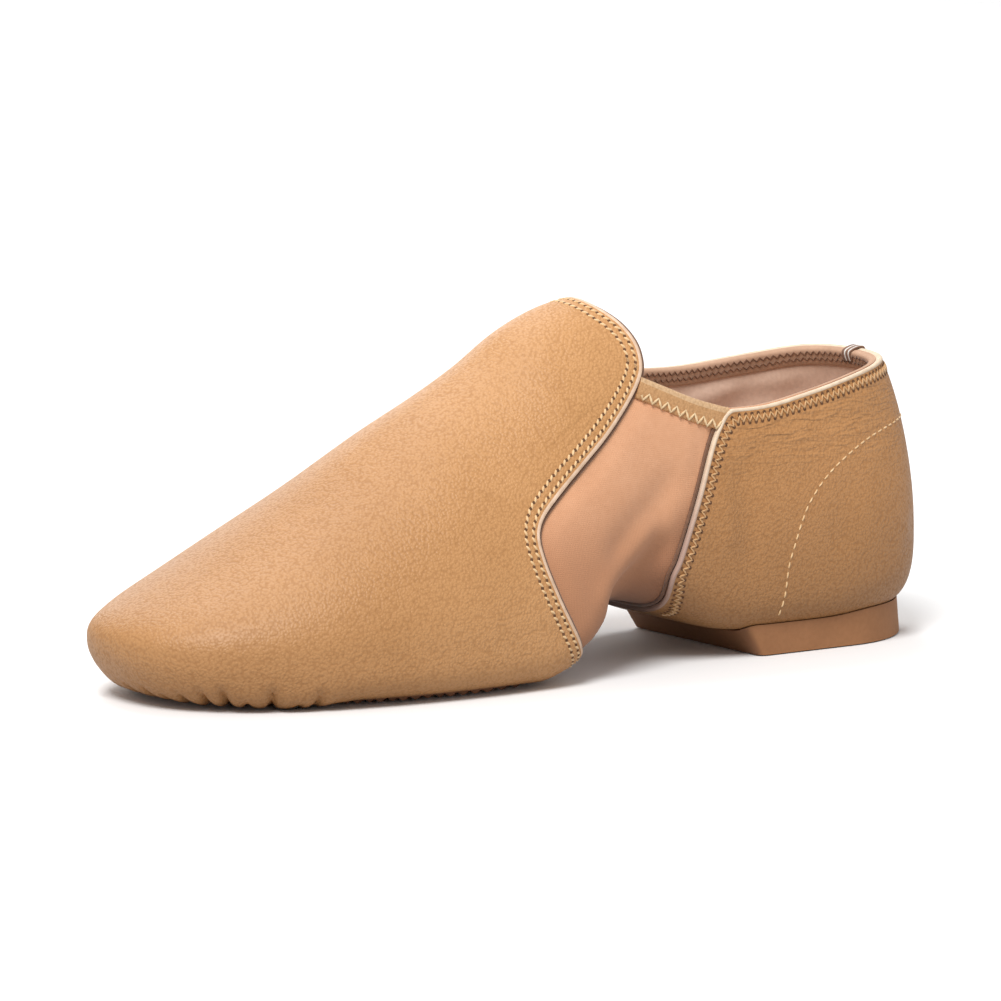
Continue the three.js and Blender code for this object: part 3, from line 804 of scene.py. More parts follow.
faces = vamp_faces(len(outer), len(inner))
kinds = np.zeros(len(faces), int)
kinds[:pale_rows * vamp_around], kinds[-vamp_around:] = 1, 1
points = np.vstack([outer.reshape(-1, 3), inner.reshape(-1, 3)])
vamp = mesh_piece("vamp_leather", points, faces, [tan, edge_tan], kinds, 60)
part(vamp, "leather", "vamp")

# The vamp's stitching: two rows of short pale stitches that hold the leather's edge down on the stretch cloth.
# The thread is thick and slants from one needle hole to the next.


def contour(field, t_range=(0.3, end - 0.3), around=340):
    """The lines where a field is 0, longest first, each as a row of places (t, a)."""
    t, a = np.arange(*t_range, 1 / 14), np.arange(around) / around
    value = field(*np.meshgrid(t, a, indexing="ij"))
    sign = value > 0
    beside = np.roll(sign, -1, 1)
    mixed = ~((sign[:-1] == sign[1:]) & (sign[:-1] == beside[:-1]) & (sign[1:] == beside[1:]))
    links = {}
    for i, j in zip(*np.nonzero(mixed)):
        k = (j + 1) % around
        edges = ((1, i, j, i, k), (1, i + 1, j, i + 1, k), (0, i, j, i + 1, j), (0, i, k, i + 1, k))
        crossed = [e[:3] for e in edges if sign[e[1], e[2]] != sign[e[3], e[4]]]
        for one, two in zip(crossed[::2], crossed[1::2]):
            links.setdefault(one, []).append(two)
            links.setdefault(two, []).append(one)
    lines = []
    while links:
        here = next((e for e, others in links.items() if len(others) == 1), next(iter(links)))
        line = []
        while here is not None:
            kind, i, j = here
            m, n = (i, (j + 1) % around) if kind else (i + 1, j)
            f = value[i, j] / (value[i, j] - value[m, n])
            line.append((t[i] + (0 if kind else f / 14), a[j] + (f / around if kind else 0)))
            here = next((e for e in links.pop(here) if e in links), None)
        lines.append(np.array(line))
    return sorted(lines, key=len, reverse=True)


class Path:
    """An even row of places along a line, with the last's normal and the directions along and across it."""

    def __init__(self, line, step, field=None, level=0.0, closed=False):
        line = np.array(line)
        if closed:
            line = np.vstack([line, line[:1]])
        line[:, 1] = np.unwrap(line[:, 1], period=1)
        points = surface(line[:, 0], line[:, 1], skin)[0]
        run = travelled(points)
        at = np.linspace(0, run[-1], max(2, round(run[-1] / step)) + 1)
        at = at[:-1] if closed else at
        self.t, self.a = np.interp(at, run, line[:, 0]), np.interp(at, run, line[:, 1])
        if field is not None:
            self.t, self.a = settle(self.t, self.a, field, level, 2)
        self.closed = closed
        self.points, self.normal = surface(self.t, self.a, skin)
        ahead, behind = np.roll(self.points, -1, 0), np.roll(self.points, 1, 0)
        if not closed:
            ahead[-1], behind[0] = self.points[-1], self.points[0]
        self.along = unit(ahead - behind)
        self.across = unit(np.cross(self.normal, self.along))
        if field is not None:
            t, a = self.walk(0.5)
            if np.mean(field(t, a) - field(self.t, self.a)) < 0:
                self.across = -self.across

    def marks(self, out, pitch, first, each=1, across=0.0):
        """A path of places a pitch apart, as a resampled curve has them: from the first one, every each-th."""
        points = surface(self.t, self.a, out)[0]
        run = travelled(points)
        total = run[-1] + (np.linalg.norm(points[0] - points[-1]) if self.closed else 0.0)
        step = total / int(total / pitch)
        at = np.arange(first, total / step, each) * step
        at = at[at < run[-1]]
        found = object.__new__(Path)
        found.closed = False
        found.t, found.a = np.interp(at, run, self.t), np.interp(at, run, self.a)
        found.points, found.normal = surface(found.t, found.a, skin)
        for label in ("along", "across"):
            rows = getattr(self, label)
            setattr(found, label, np.stack([np.interp(at, run, rows[:, k]) for k in range(3)], 1))
        found.t, found.a = found.walk(np.full(len(at), across), 2)
        return found

    def walk(self, reach, steps=1):
        """The places at some distance across the path."""
        t, a = self.t, self.a
        for _ in range(steps):
            along, around = slopes(t, a)
            move = self.across * np.asarray(reach)[..., None] / steps
            e, f, g = np.sum(along**2, -1), np.sum(along * around, -1), np.sum(around**2, -1)
            p, q = np.sum(along * move, -1), np.sum(around * move, -1)
            t, a = t + (g * p - f * q) / (e * g - f * f), a + (e * q - f * p) / (e * g - f * f)
        return t, a


def outward(piece, weld=0.0):
    """Turns a piece's faces outwards, after merging the points that lie closer than weld."""
    form = bmesh.new()
    form.from_mesh(piece.data)
    if weld:
        bmesh.ops.remove_doubles(form, verts=form.verts, dist=weld)
    bmesh.ops.recalc_face_normals(form, faces=form.faces)
    form.to_mesh(piece.data)
    form.free()


def swept(name, path, profile, materials, kinds=None, sharp=None):
    """A closed strip along a path; its profile is a loop of points, across the path and out from the last."""
    profile = np.broadcast_to(profile, (len(path.t), *np.shape(profile)[-2:]))
    count, size = profile.shape[:2]
    rows = []
    for k in range(size):
        t, a = path.walk(profile[:, k, 0], 2)
        rows.append(surface(t, a, profile[:, k, 1])[0])
    points = np.stack(rows, 1).reshape(-1, 3)
    faces = net_faces(count, size, ring=path.closed)
    kinds = kinds and kinds * (len(faces) // size)
    if not path.closed:
        faces += [tuple(range(size))[::-1], tuple(range((count - 1) * size, count * size))]
        kinds = kinds and kinds + [0] * 2
    piece = mesh_piece(name, points, faces, materials, kinds, sharp)
    outward(piece)
    return piece


def begun(name, lengths):
    """A tree over a path mesh, with inputs for lengths and a material; gives its inputs too."""
    tree = bpy.data.node_groups.new(name, "GeometryNodeTree")
    tree.interface.new_socket("Geometry", in_out="OUTPUT", socket_type="NodeSocketGeometry")
    tree.interface.new_socket("Geometry", in_out="INPUT", socket_type="NodeSocketGeometry")
    for label, value in lengths.items():
        tree.interface.new_socket(label, in_out="INPUT", socket_type="NodeSocketFloat").default_value = value
    tree.interface.new_socket("Material", in_out="INPUT", socket_type="NodeSocketMaterial")
    return tree, tree.nodes.new("NodeGroupInput").outputs


def ended(tree, given, made):
    """Ends a tree: its copies made real, then given their material."""
    real = node(tree, "GeometryNodeRealizeInstances", {"Geometry": made})
    shown = node(tree, "GeometryNodeSetMaterial", {"Geometry": real.outputs[0], "Material": given["Material"]})
    tree.links.new(shown.outputs[0], tree.nodes.new("NodeGroupOutput").inputs[0])
    return tree


def copied(tree, points, shape, rotation):
    """Copies of a shape at points, turned."""
    given = {"Points": points, "Instance": shape, "Rotation": rotation}
    return node(tree, "GeometryNodeInstanceOnPoints", given).outputs[0]


def vector_of(tree, label):
    return node(tree, "GeometryNodeInputNamedAttribute", data_type="FLOAT_VECTOR", Name=label).outputs[0]


def grown(name, points, edges, vectors, tree, material, lengths):
    """What a tree makes of points that carry vectors, as a plain mesh; the lengths are in millimetres."""
    mesh = bpy.data.meshes.new(name)
    mesh.from_pydata(points, edges, [])
    for label, rows in vectors.items():
        made = mesh.attributes.new(label, "FLOAT_VECTOR", "POINT")
        made.data.foreach_set("vector", np.asarray(rows, np.float32).ravel())
    guide = linked(name + "_path", mesh)
    modifier = guide.modifiers.new("tree", "NODES")
    modifier.node_group = tree
    sockets = {s.name: s.identifier for s in tree.interface.items_tree if s.in_out == "INPUT"}
    for label, value in lengths.items():
        modifier[sockets[label]] = value * 0.001
    modifier[sockets["Material"]] = material
    made = bpy.data.meshes.new_from_object(guide.evaluated_get(bpy.context.evaluated_depsgraph_get()))
    bpy.data.objects.remove(guide)
    return linked(name, made)


def thread_tree(name, zigzag):
    """Stitches along a path mesh that has vectors up, along and across at its points.

    A zigzag is one thread that dives at each turn. Other stitches are short bowed lengths, one at each point.
    """
    tree, given = begun(name, {"Pitch": 0.002, "Size": 0.001, "Thread": 0.0002, "Lift": 0.0002})

    def scaled(direction, amount):
        made = node(tree, "ShaderNodeVectorMath", {"Vector": direction, "Scale": amount}, operation="SCALE")
        return made.outputs[0]

    ring = node(tree, "GeometryNodeCurvePrimitiveCircle", {"Radius": given["Thread"]}, Resolution=6)
    line = node(tree, "GeometryNodeMeshToCurve", {"Mesh": given["Geometry"]})
    even = {"Curve": line.outputs[0], "Length": given["Pitch"]}
    even = node(tree, "GeometryNodeResampleCurve", even, mode="LENGTH")
    if zigzag:
        quarter = math_node(tree, "MULTIPLY", given["Pitch"], 0.25)
        tree.links.new(quarter, even.inputs["Length"])
        index = tree.nodes.new("GeometryNodeInputIndex").outputs[0]
        turn = math_node(tree, "MULTIPLY", index, math.pi / 2)
        side = math_node(tree, "MULTIPLY", math_node(tree, "SINE", turn, None), given["Size"])
        side = math_node(tree, "MULTIPLY", side, 0.5)
        high = math_node(tree, "ABSOLUTE", math_node(tree, "COSINE", turn, None), None)
        high = math_node(tree, "MULTIPLY", high, given["Lift"])
        reach = tree.nodes.new("ShaderNodeVectorMath")
        tree.links.new(scaled(vector_of(tree, "across"), side), reach.inputs[0])
        tree.links.new(scaled(vector_of(tree, "up"), high), reach.inputs[1])
        moved = {"Geometry": even.outputs[0], "Offset": reach.outputs[0]}
        moved = node(tree, "GeometryNodeSetPosition", moved)
        made = {"Curve": moved.outputs[0], "Profile Curve": ring.outputs[0]}
        made = node(tree, "GeometryNodeCurveToMesh", made).outputs[0]
    else:
        points = node(tree, "GeometryNodeCurveToMesh", {"Curve": even.outputs[0]})
        half = math_node(tree, "MULTIPLY", given["Size"], 0.5)
        bow = node(tree, "GeometryNodeCurveQuadraticBezier", {}, Resolution=6)
        for label, sign in (("Start", -1.0), ("End", 1.0)):
            corner = tree.nodes.new("ShaderNodeCombineXYZ")
            tree.links.new(math_node(tree, "MULTIPLY", half, sign), corner.inputs[0])
            tree.links.new(math_node(tree, "MULTIPLY", given["Thread"], -1.0), corner.inputs[2])
            tree.links.new(corner.outputs[0], bow.inputs[label])
        crown = tree.nodes.new("ShaderNodeCombineXYZ")
        tree.links.new(math_node(tree, "MULTIPLY", given["Lift"], 2.0), crown.inputs[2])
        tree.links.new(crown.outputs[0], bow.inputs["Middle"])
        stitch = {"Curve": bow.outputs[0], "Profile Curve": ring.outputs[0]}
        stitch = node(tree, "GeometryNodeCurveToMesh", stitch, Fill_Caps=True)
        axes = {0: vector_of(tree, "along"), 1: vector_of(tree, "up")}
        turned = node(tree, "FunctionNodeAxesToRotation", axes, primary_axis="X", secondary_axis="Z")
        made = copied(tree, points.outputs[0], stitch.outputs[0], turned.outputs[0])
    soft = node(tree, "GeometryNodeSetShadeSmooth", {"Geometry": made})
    return ended(tree, given, soft.outputs[0])


def hole_tree():
    """A small dark dimple at every point of a path mesh, facing out."""
    tree, given = begun("Needle holes", {"Size": 0.0007})
    radius = math_node(tree, "MULTIPLY", given["Size"], 0.5)
    dimple = node(tree, "GeometryNodeMeshCone", {"Radius Bottom": radius},
                  Vertices=8, Radius_Top=0.0, Depth=0.00008)
    turned = node(tree, "FunctionNodeAlignRotationToVector", {"Vector": vector_of(tree, "up")}, axis="Z")
    return ended(tree, given, copied(tree, given["Geometry"], dimple.outputs[0], turned.outputs[0]))


straight_stitch, zigzag_stitch = thread_tree("Stitches", False), thread_tree("Zigzag", True)
needle_hole = hole_tree()


def sewn(name, path, out, tree, material, slant=0.0, **lengths):
    """Stitches or holes by a tree along a path, whose points lie out from the last."""
    points, normal = surface(path.t, path.a, out)
    turned = path.along * math.cos(slant) + path.across * math.sin(slant)
    order = list(range(len(points))) + ([0] if path.closed else [])
    edges = [(i, i + 1) for i in range(len(order) - 1)]
    vectors = {"up": normal[order], "along": turned[order], "across": path.across[order]}
    return grown(name, placed(points[order]).tolist(), edges, vectors, tree, material, lengths)


def joined(name, pieces):
    """Several meshes as one piece."""
    whole = bmesh.new()
    materials = []
    for piece in pieces:
        slots = []
        for material in piece.data.materials:
            if material not in materials:
                materials.append(material)
            slots.append(materials.index(material))
        first = len(whole.faces)
        whole.from_mesh(piece.data)
        whole.faces.ensure_lookup_table()
        for face in whole.faces[first:]:
            face.material_index = slots[face.material_index]
        bpy.data.objects.remove(piece)
    mesh = bpy.data.meshes.new(name)
    whole.to_mesh(mesh)
    whole.free()
    for material in materials:
        mesh.materials.append(material)
    return linked(name, mesh)


def thread(name, dark, light):
    made = shader(name, light, 0.6, Sheen_Weight=0.3)
    toned(made, dark, light, 900.0)
    return made


pale_thread = thread("pale_thread", (0.68, 0.43, 0.2), (0.86, 0.6, 0.33))
# Painted shade: the holes' dark colour stands for their depth, which the shallow dimples don't cast.
needle_hole_shade = shader("needle_hole", (0.13, 0.055, 0.022), 0.9)
toned(needle_hole_shade, (0.09, 0.038, 0.014), (0.18, 0.08, 0.035), 400.0)
stitch_pitch = 2.0
rows = []
for depth in stitch_rows:
    line = contour(lambda t, a: vamp_depth(t, a) - depth)[0]
    path = Path(line, 0.5, vamp_depth, depth, closed=True)
    height = vamp_out(path.t, path.a)
    rows.append(sewn("stitch", path, height, straight_stitch, pale_thread, 0.5,
                     Pitch=stitch_pitch, Size=1.7, Thread=0.36, Lift=0.22))
    between = path.marks(height, stitch_pitch, 0.5)
    around_holes = vamp_out(between.t, between.a)
    rows.append(sewn("hole", between, around_holes + 0.1, needle_hole, needle_hole_shade, Size=0.95))
part(joined("vamp_stitching", rows), "leather")

# The edge shadow: a thin dark-brown strip of painted shadow that lies in the step between the cut leather and
# the stretch cloth, where the shadow line falls all the way round.
shadow_middle, shadow_height, shadow_reach, shadow_rise = -0.5, 2.05, 0.5, 0.45
shadow_profile = [
    (shadow_middle + shadow_reach * math.cos(turn), shadow_height + shadow_rise * math.sin(turn))
    for turn in np.arange(8) * math.pi / 4
]
painted_edge_shadow = thread("painted_edge_shadow", (0.12, 0.05, 0.022), (0.2, 0.088, 0.04))
vamp_line = contour(vamp_depth)[0]
path = Path(vamp_line, 0.7, vamp_depth, closed=True)
part(swept("vamp_edge_shadow", path, shadow_profile, [painted_edge_shadow]), "leather")

# The quarter: one piece of the same leather round the heel and up to the collar. Its seam runs down the back,
# and a line of fine pale stitches holds the stiff counter that lies inside it.


def back_seam(x, y, z):
    """The butted seams on the middle line: down the back and along under the arch."""
    return -0.4 * np.exp(-((y / 0.35) ** 2)) * np.maximum(ease((12 - x) / 4), ease((24 - z) / 3))


leather_wrinkles = [
    ([(10, 28, 62), (24, 28, 61), (38, 30, 62), (52, 31, 60)], 2.2, -0.22),
    ([(18, 29, 54), (32, 30, 56), (46, 31, 54), (58, 31, 55)], 1.8, -0.2),
    ([(30, 30, 49), (44, 31, 50), (56, 31, 47), (66, 30, 48)], 2.0, -0.18),
    ([(73, 31, 58), (71, 32, 46), (70, 33, 33), (71, 33, 19)], 4.6, -0.6),
    ([(79, 32, 52), (77, 33, 41), (76, 33, 28)], 2.8, 0.35),
    ([(36, 31, 50), (38, 32, 38), (42, 33, 24)], 6.0, -0.5),
    ([(14, 28, 17), (26, 30, 14), (40, 31, 15)], 2.4, -0.25),
    ([(8, 24, 36), (10, 26, 28), (16, 28, 22)], 3.0, -0.3),
    ([(12, -26, 60), (30, -29, 62), (48, -31, 60)], 2.2, -0.22),
    ([(68, -30, 44), (64, -31, 33), (67, -31, 22)], 3.2, -0.4),
]


def quarter_out(t, a):
    points = surface(t, a, skin)[0]
    depth = quarter_depth(t, a)
    out = skin + sum(crease(points, *wrinkle) for wrinkle in leather_wrinkles)
    out = out + back_seam(*np.moveaxis(points, -1, 0))
    return out - 0.12 * np.exp(-(((depth - 3.1) / 1.0) ** 2))


# This leather gets painted shade low down.
low_shaded_tan = tan_leather("low_shaded_tan", (0.47, 0.22, 0.073), (0.54, 0.26, 0.093), low_shade_and_wrinkles=True)
quarter_leather = shell(
    "quarter_leather", lambda t, a: quarter_depth(t, a) - 0.6, (0, 8.4), 1 / 18, 330, quarter_out,
    lambda t, a: np.full(t.shape, sock_wall + seam), [low_shaded_tan, tan, edge_tan],
)
part(quarter_leather, "leather", "quarter")

counter_curve = smooth([
    (60.5, -6), (59.5, 10), (58.4, 17.3), (57.4, 24.2), (55.6, 29.5), (53.4, 35.2), (50.4, 40.9), (44.8, 47),
    (36.8, 52.5), (27.9, 56.4), (18, 58.8), (8, 59.8), (-20, 60),
])


def counter_depth(t, a):
    x, y, z = spot(t, a)
    return left_of(x, z, counter_curve)


def clipped(line, keep):
    """The stretches of a closed line where keep holds, longest first."""
    held = keep(line[:, 0], line[:, 1])
    if not held.all():
        first = int(np.nonzero(~held)[0][0])
        line, held = np.roll(line, -first, 0), np.roll(held, -first)
    edges = np.flatnonzero(np.diff(np.concatenate([[0], held.astype(int), [0]])))
    runs = sorted(zip(edges[::2], edges[1::2]), key=lambda r: r[0] - r[1])
    return [line[first:last] for first, last in runs]


line = clipped(contour(counter_depth, (0.3, 7.8))[0], lambda t, a: spot(t, a)[2] > 11)[0]
path = Path(line, 0.5, counter_depth)
height = quarter_out(path.t, path.a) + 0.02
part(sewn("counter_stitching", path, height, straight_stitch, pale_thread,
          Pitch=2.6, Size=1.6, Thread=0.24, Lift=0.16), "leather")

# The binding: a pale tape folded over the quarter's cut edge all the way round. A narrow zigzag in brown thread
# runs beside it through the leather.


def tape():
    """Pale tape: yellowish on the topline, greyer and pinker down the front, and nearly black with painted
    shade where it runs low under the arch.
    """
    made = shader("binding_tape", (0.78, 0.6, 0.46), 0.65)
    tree = made.node_tree
    color = toned(made, (0.68, 0.51, 0.36), (0.82, 0.66, 0.49), 500.0)[0]
    front = mix_color(tree, along_axis(tree, 2, 0.03, 0.062), (0.44, 0.29, 0.23), color)
    # Painted shade: nearly black at the bottom, where the tape runs under the arch.
    colored(made, mix_color(tree, along_axis(tree, 2, 0.0115, 0.016), (0.13, 0.06, 0.035), front))
    return made


def rounded(left, right, low, high, radius, steps=4):
    """A loop round a strip's section, its corners rounded; the four sides may be rows of numbers."""
    loop = []
    for x, y, start in ((right, high, 0), (left, high, 1), (left, low, 2), (right, low, 3)):
        sx, sy = (1 if start in (0, 3) else -1), (1 if start in (0, 1) else -1)
        for k in range(steps):
            turn = (start + k / (steps - 1)) * math.pi / 2
            loop.append((x - sx * radius + radius * math.cos(turn), y - sy * radius + radius * math.sin(turn)))
    wide = np.broadcast_shapes(*(np.shape(v) for point in loop for v in point))
    return np.stack([np.stack([np.broadcast_to(v, wide) for v in point], -1) for point in loop], -2)


pale_tape = tape()
edge_line = contour(quarter_depth, (0.3, 9.0))[0]
path = Path(edge_line, 0.7, quarter_depth, closed=True)
on_top = ease((quarter_front(path.t, path.a) - 0.5) / 3.5)
low, high = mix(1.85, 1.35, on_top), mix(3.55, 3.45, on_top)
binding = swept("binding", path, rounded(0.2, binding_width, low, high, 0.5), [pale_tape])
part(binding, "binding", "quarter_binding")
front_line = clipped(edge_line, lambda t, a: (quarter_front(t, a) < 1.0) & (collar_depth(t, a) > 0.5))[0]
# The same strip of painted shadow runs beside the quarter's front edge.
part(swept("quarter_edge_shadow", Path(front_line, 0.7, quarter_depth), shadow_profile, [painted_edge_shadow]), "leather")

golden_thread = thread("golden_thread", (0.5, 0.27, 0.105), (0.68, 0.41, 0.19))
zigzag_depth = 3.0
line = contour(lambda t, a: quarter_depth(t, a) - zigzag_depth, (0.3, 9.0))[0]
line = clipped(line, lambda t, a: spot(t, a)[2] > 12)[0]
path = Path(line, 0.4, quarter_depth, zigzag_depth)
height = quarter_out(path.t, path.a) + 0.12
rows = [sewn("zigzag", path, height, zigzag_stitch, golden_thread, Pitch=2.0, Size=1.7, Thread=0.28, Lift=0.1)]
for first, side in ((1, 1.15), (3, -1.15)):
    turns = path.marks(height, 0.5, first, 4, side)
    rows.append(sewn("hole", turns, quarter_out(turns.t, turns.a) + 0.06, needle_hole, needle_hole_shade, Size=1.05))
part(joined("quarter_stitching", rows), "leather")

# The collar bands: a folded strip of thin leather hems the stretch cloth on each side of the arch. A wide
# pale zigzag sews down its lower edge.
band_leather = tan_leather("band_leather", (0.5, 0.26, 0.105), (0.6, 0.335, 0.15), 1500.0, 0.0002)
band_fold = tan_leather("band_fold", (0.6, 0.37, 0.19), (0.7, 0.46, 0.26), 1500.0, 0.0002)
collar_line = clipped(contour(collar_depth)[0], lambda t, a: vamp_depth(t, a) < 0.4)[0]
band_profile = [
    (6.0, 2.0), (6.05, 2.7), (5.8, 2.98), (5.2, 3.08), (4.0, 3.14), (2.6, 3.2), (1.4, 3.3), (0.6, 3.25),
    (0.0, 3.0), (-0.4, 2.5), (-0.45, 1.9), (-0.25, 1.3), (0.2, 1.0), (0.5, 1.5), (1.2, 1.9), (3.5, 1.95),
]
band_kinds = [0] * 6 + [1] * 7 + [0] * 3
cream_thread = thread("cream_thread", (0.7, 0.47, 0.24), (0.86, 0.64, 0.38))
for name, keep in (
    ("collar_band_outer", lambda t, a: (quarter_depth(t, a) < -0.2) & (np.mod(a, 1) < 0.5)),
    ("collar_band_inner", lambda t, a: (quarter_depth(t, a) < -0.2) & (np.mod(a, 1) > 0.5)),
):
    line, piece_name = clipped(collar_line, keep)[0], name.replace("collar", "arch")
    path = Path(line, 0.6, collar_depth)
    part(swept(piece_name, path, band_profile, [band_leather, band_fold], band_kinds, 60), "leather", name)
    path = Path(line[2:-2], 0.5, collar_depth)
    path.t, path.a = path.walk(5.0, 3)
    part(sewn(piece_name + "_zigzag", path, 3.22, zigzag_stitch, cream_thread,
              Pitch=2.9, Size=2.2, Thread=0.33, Lift=0.12), "leather")

# The facing: a soft tape folded over the lining's rim inside the collar. Two dark zigzags sew it down, one near
# the rim and one near its lower edge.
facing_profile = [
    (4.9, -0.05), (4.95, -0.35), (4.6, -0.52), (3.5, -0.58), (1.6, -0.62), (0.4, -0.58), (-0.05, -0.3),
    (-0.25, 0.2), (-0.25, 0.9), (-0.1, 1.35), (0.1, 1.5), (0.3, 1.1), (0.25, 0.3), (0.6, -0.08), (2.5, -0.06),
]
path = Path(collar_line, 0.8, collar_depth)
part(swept("collar_facing", path, facing_profile, [hem], None, 70), "stretch_cloth")
dark_thread = thread("dark_thread", (0.14, 0.06, 0.028), (0.26, 0.12, 0.06))
rows = []
for depth in (1.0, 2.9):
    path = Path(collar_line, 0.4, collar_depth)
    path.t, path.a = path.walk(depth, 3)
    rows.append(sewn("zigzag", path, -0.62, zigzag_stitch, dark_thread,
                     Pitch=1.9, Size=1.1, Thread=0.22, Lift=-0.1))
part(joined("facing_stitching", rows), "stretch_cloth")

# The bar tack: a few dark and white turns of thread over the rim at the back. They hold the quarter's two
# halves together where they meet.
white_thread = thread("white_thread", (0.7, 0.66, 0.6), (0.88, 0.85, 0.8))
tack_profile = [
    (2.3, -0.85), (0.6, -0.9), (-0.35, -0.5), (-0.55, 0.4), (-0.5, 1.6), (-0.2, 3.0), (0.3, 3.95), (1.3, 4.1),
    (2.3, 3.85),
]
middle = int(np.argmin(np.abs(np.mod(collar_line[:, 1], 1) - 0.5) + (collar_line[:, 0] > 6)))
tack = Path(collar_line[middle - 3:middle + 4], 0.62, collar_depth)
turns = []
for number in range(len(tack.t)):
    loop = []
    for across, out in tack_profile:
        t, a = tack.walk(across, 2)
        loop.append(surface(t[number], a[number], out)[0])
    curve = bpy.data.curves.new("turn", "CURVE")
    curve.dimensions, curve.bevel_depth, curve.bevel_resolution = "3D", 0.0003, 1
    curve.use_fill_caps = True
    spline = curve.splines.new("POLY")
    loop = placed(smooth(np.array(loop), 3))
    spline.points.add(len(loop) - 1)
    for point, place in zip(spline.points, loop):
        point.co = (*place, 1)
    curve.materials.append(white_thread if number % 3 == 1 else dark_thread)
    guide = linked("turn", curve)
    mesh = bpy.data.meshes.new_from_object(guide.evaluated_get(bpy.context.evaluated_depsgraph_get()))
    bpy.data.objects.remove(guide)
    turns.append(bpy.data.objects.new("turn", mesh))
part(joined("bar_tack", turns), "leather")

# The insole: thin foam under a beige brushed cloth. It is cut to the foot, a little soft at its rim, and laid
# loose on the sock's floor.


insole_share, insole_rim, insole_rise = 0.84, 0.05, 2.15


def insole_places(count_t=96, count_w=31):
    """Places over the foot's sole, and how full the foam is there: 0 at its rim."""
    s, w = np.meshgrid(np.linspace(-1, 1, count_t), np.linspace(-1, 1, count_w), indexing="ij")
    s = np.sin(s * math.pi / 2)
    t = mix(0.75, end - 0.75, (s + 1) / 2)
    around = np.linspace(-0.3, 0.3, 181)
    a = np.zeros(t.shape)
    for i in range(count_t):
        row = surface(np.full(around.shape, t[i, 0]), around, -seam)[0]
        section = section_at(t[i, :1])[0]
        a[i] = np.interp(section[2] + w[i] * insole_share * section[1], row[:, 1], around)
    round_off = np.sqrt(np.clip(1 - np.abs(w) ** 7, 0, 1) * np.clip(1 - np.abs(s) ** 24, 0, 1))
    return t, a, round_off


def insole_cloth():
    made = shader("insole_cloth", (0.61, 0.42, 0.3), 0.9, Sheen_Weight=0.5)
    patches = toned(made, (0.55, 0.37, 0.26), (0.68, 0.49, 0.36), 70.0)[1]
    bumped(made, patches.outputs["Fine"], 0.0002, 0.5)
    return made


t, a, full = insole_places()
top, under = surface(t, a, -seam - insole_rim - insole_rise * full)[0], surface(t, a, -seam)[0]
count_t, count_w = t.shape
faces = net_faces(count_t, count_w, wrap=False)
faces += net_faces(count_t, count_w, count_t * count_w, True, wrap=False)
loop = [(i, 0) for i in range(count_t)] + [(count_t - 1, j) for j in range(1, count_w)]
loop += [(i, count_w - 1) for i in range(count_t - 2, -1, -1)] + [(0, j) for j in range(count_w - 2, 0, -1)]
loop = [i * count_w + j for i, j in loop]
for p, q in zip(loop, loop[1:] + loop[:1]):
    faces.append((q, p, p + count_t * count_w, q + count_t * count_w))
points = np.vstack([top.reshape(-1, 3), under.reshape(-1, 3)])
insole = mesh_piece("insole_pad", points, faces, [insole_cloth()])
outward(insole)
part(insole, "insole_cloth", "insole")

# The sole patch: a thin sheet of brown rubber, moulded with small blunt pyramids for grip. It is glued under
# the ball of the foot over the turned-in leather.


def rubber(name, dark, light, low, high):
    """Matt moulded rubber, paler where it stands out towards the floor, between two heights."""
    made = shader(name, light, 0.72)
    tree = made.node_tree
    color, patches = toned(made, dark, light, 60.0)
    toward_floor = along_axis(tree, 2, high, low, "LINEAR")
    colored(made, mix_color(tree, toward_floor, color, tuple(min(1, v * 1.5) for v in light)))
    bumped(made, patches.outputs["Fine"], 0.00015, 0.5)
    return made


def tread_tree():
    """Blunt four-sided pyramids that stand on a path mesh's points, away from the shoe."""
    tree, given = begun("Tread", {"Base": 0.0024, "Height": 0.0008, "Tip": 0.0006})
    corner = math_node(tree, "MULTIPLY", given["Base"], math.sqrt(0.5))
    tip = math_node(tree, "MULTIPLY", given["Tip"], math.sqrt(0.5))
    links = {"Radius Bottom": corner, "Radius Top": tip, "Depth": given["Height"]}
    pyramid = node(tree, "GeometryNodeMeshCone", links, Vertices=4)
    axes = {0: vector_of(tree, "up"), 1: vector_of(tree, "along")}
    turned = node(tree, "FunctionNodeAxesToRotation", axes, primary_axis="Z", secondary_axis="X")
    return ended(tree, given, copied(tree, given["Geometry"], pyramid.outputs[0], turned.outputs[0]))


tread = tread_tree()


def treaded(name, base_piece, outline, pitch, turn, margin, material, **lengths):
    """Pyramids on an even grid under a piece, within its outline."""
    middle = outline.mean(0)
    reach = int(90 / pitch)
    i, j = np.meshgrid(np.arange(-reach, reach + 1), np.arange(-reach, reach + 1), indexing="ij")
    c, s = math.cos(turn), math.sin(turn)
    x, y = middle[0] + pitch * (c * i - s * j), middle[1] + pitch * (s * i + c * j)
    x, y = x.ravel(), y.ravel()
    loop = np.vstack([outline, outline[:1]])
    depth = left_of(x, y, loop)
    depth = depth if np.median(depth[np.hypot(x - middle[0], y - middle[1]) < 12]) > 0 else -depth
    form = bmesh.new()
    form.from_mesh(base_piece.data)
    tree = BVHTree.FromBMesh(form)
    form.free()
    places, ups = [], []
    for px, py in placed(np.stack([x, y, 0 * x], 1))[depth > margin][:, :2]:
        hit, normal = tree.ray_cast(Vector((px, py, -0.05)), Vector((0, 0, 1)))[:2]
        if hit is not None:
            places.append(tuple(hit))
            ups.append(tuple(normal if normal.z < 0 else -normal))
    diagonal = (math.cos(turn + math.pi / 4), math.sin(turn + math.pi / 4), 0)
    vectors = {"up": ups, "along": [diagonal] * len(ups)}
    piece = grown(name, places, [], vectors, tread, material, lengths)
    for vertex in piece.data.vertices:
        vertex.co.z = max(vertex.co.z, 0.0)
    return piece


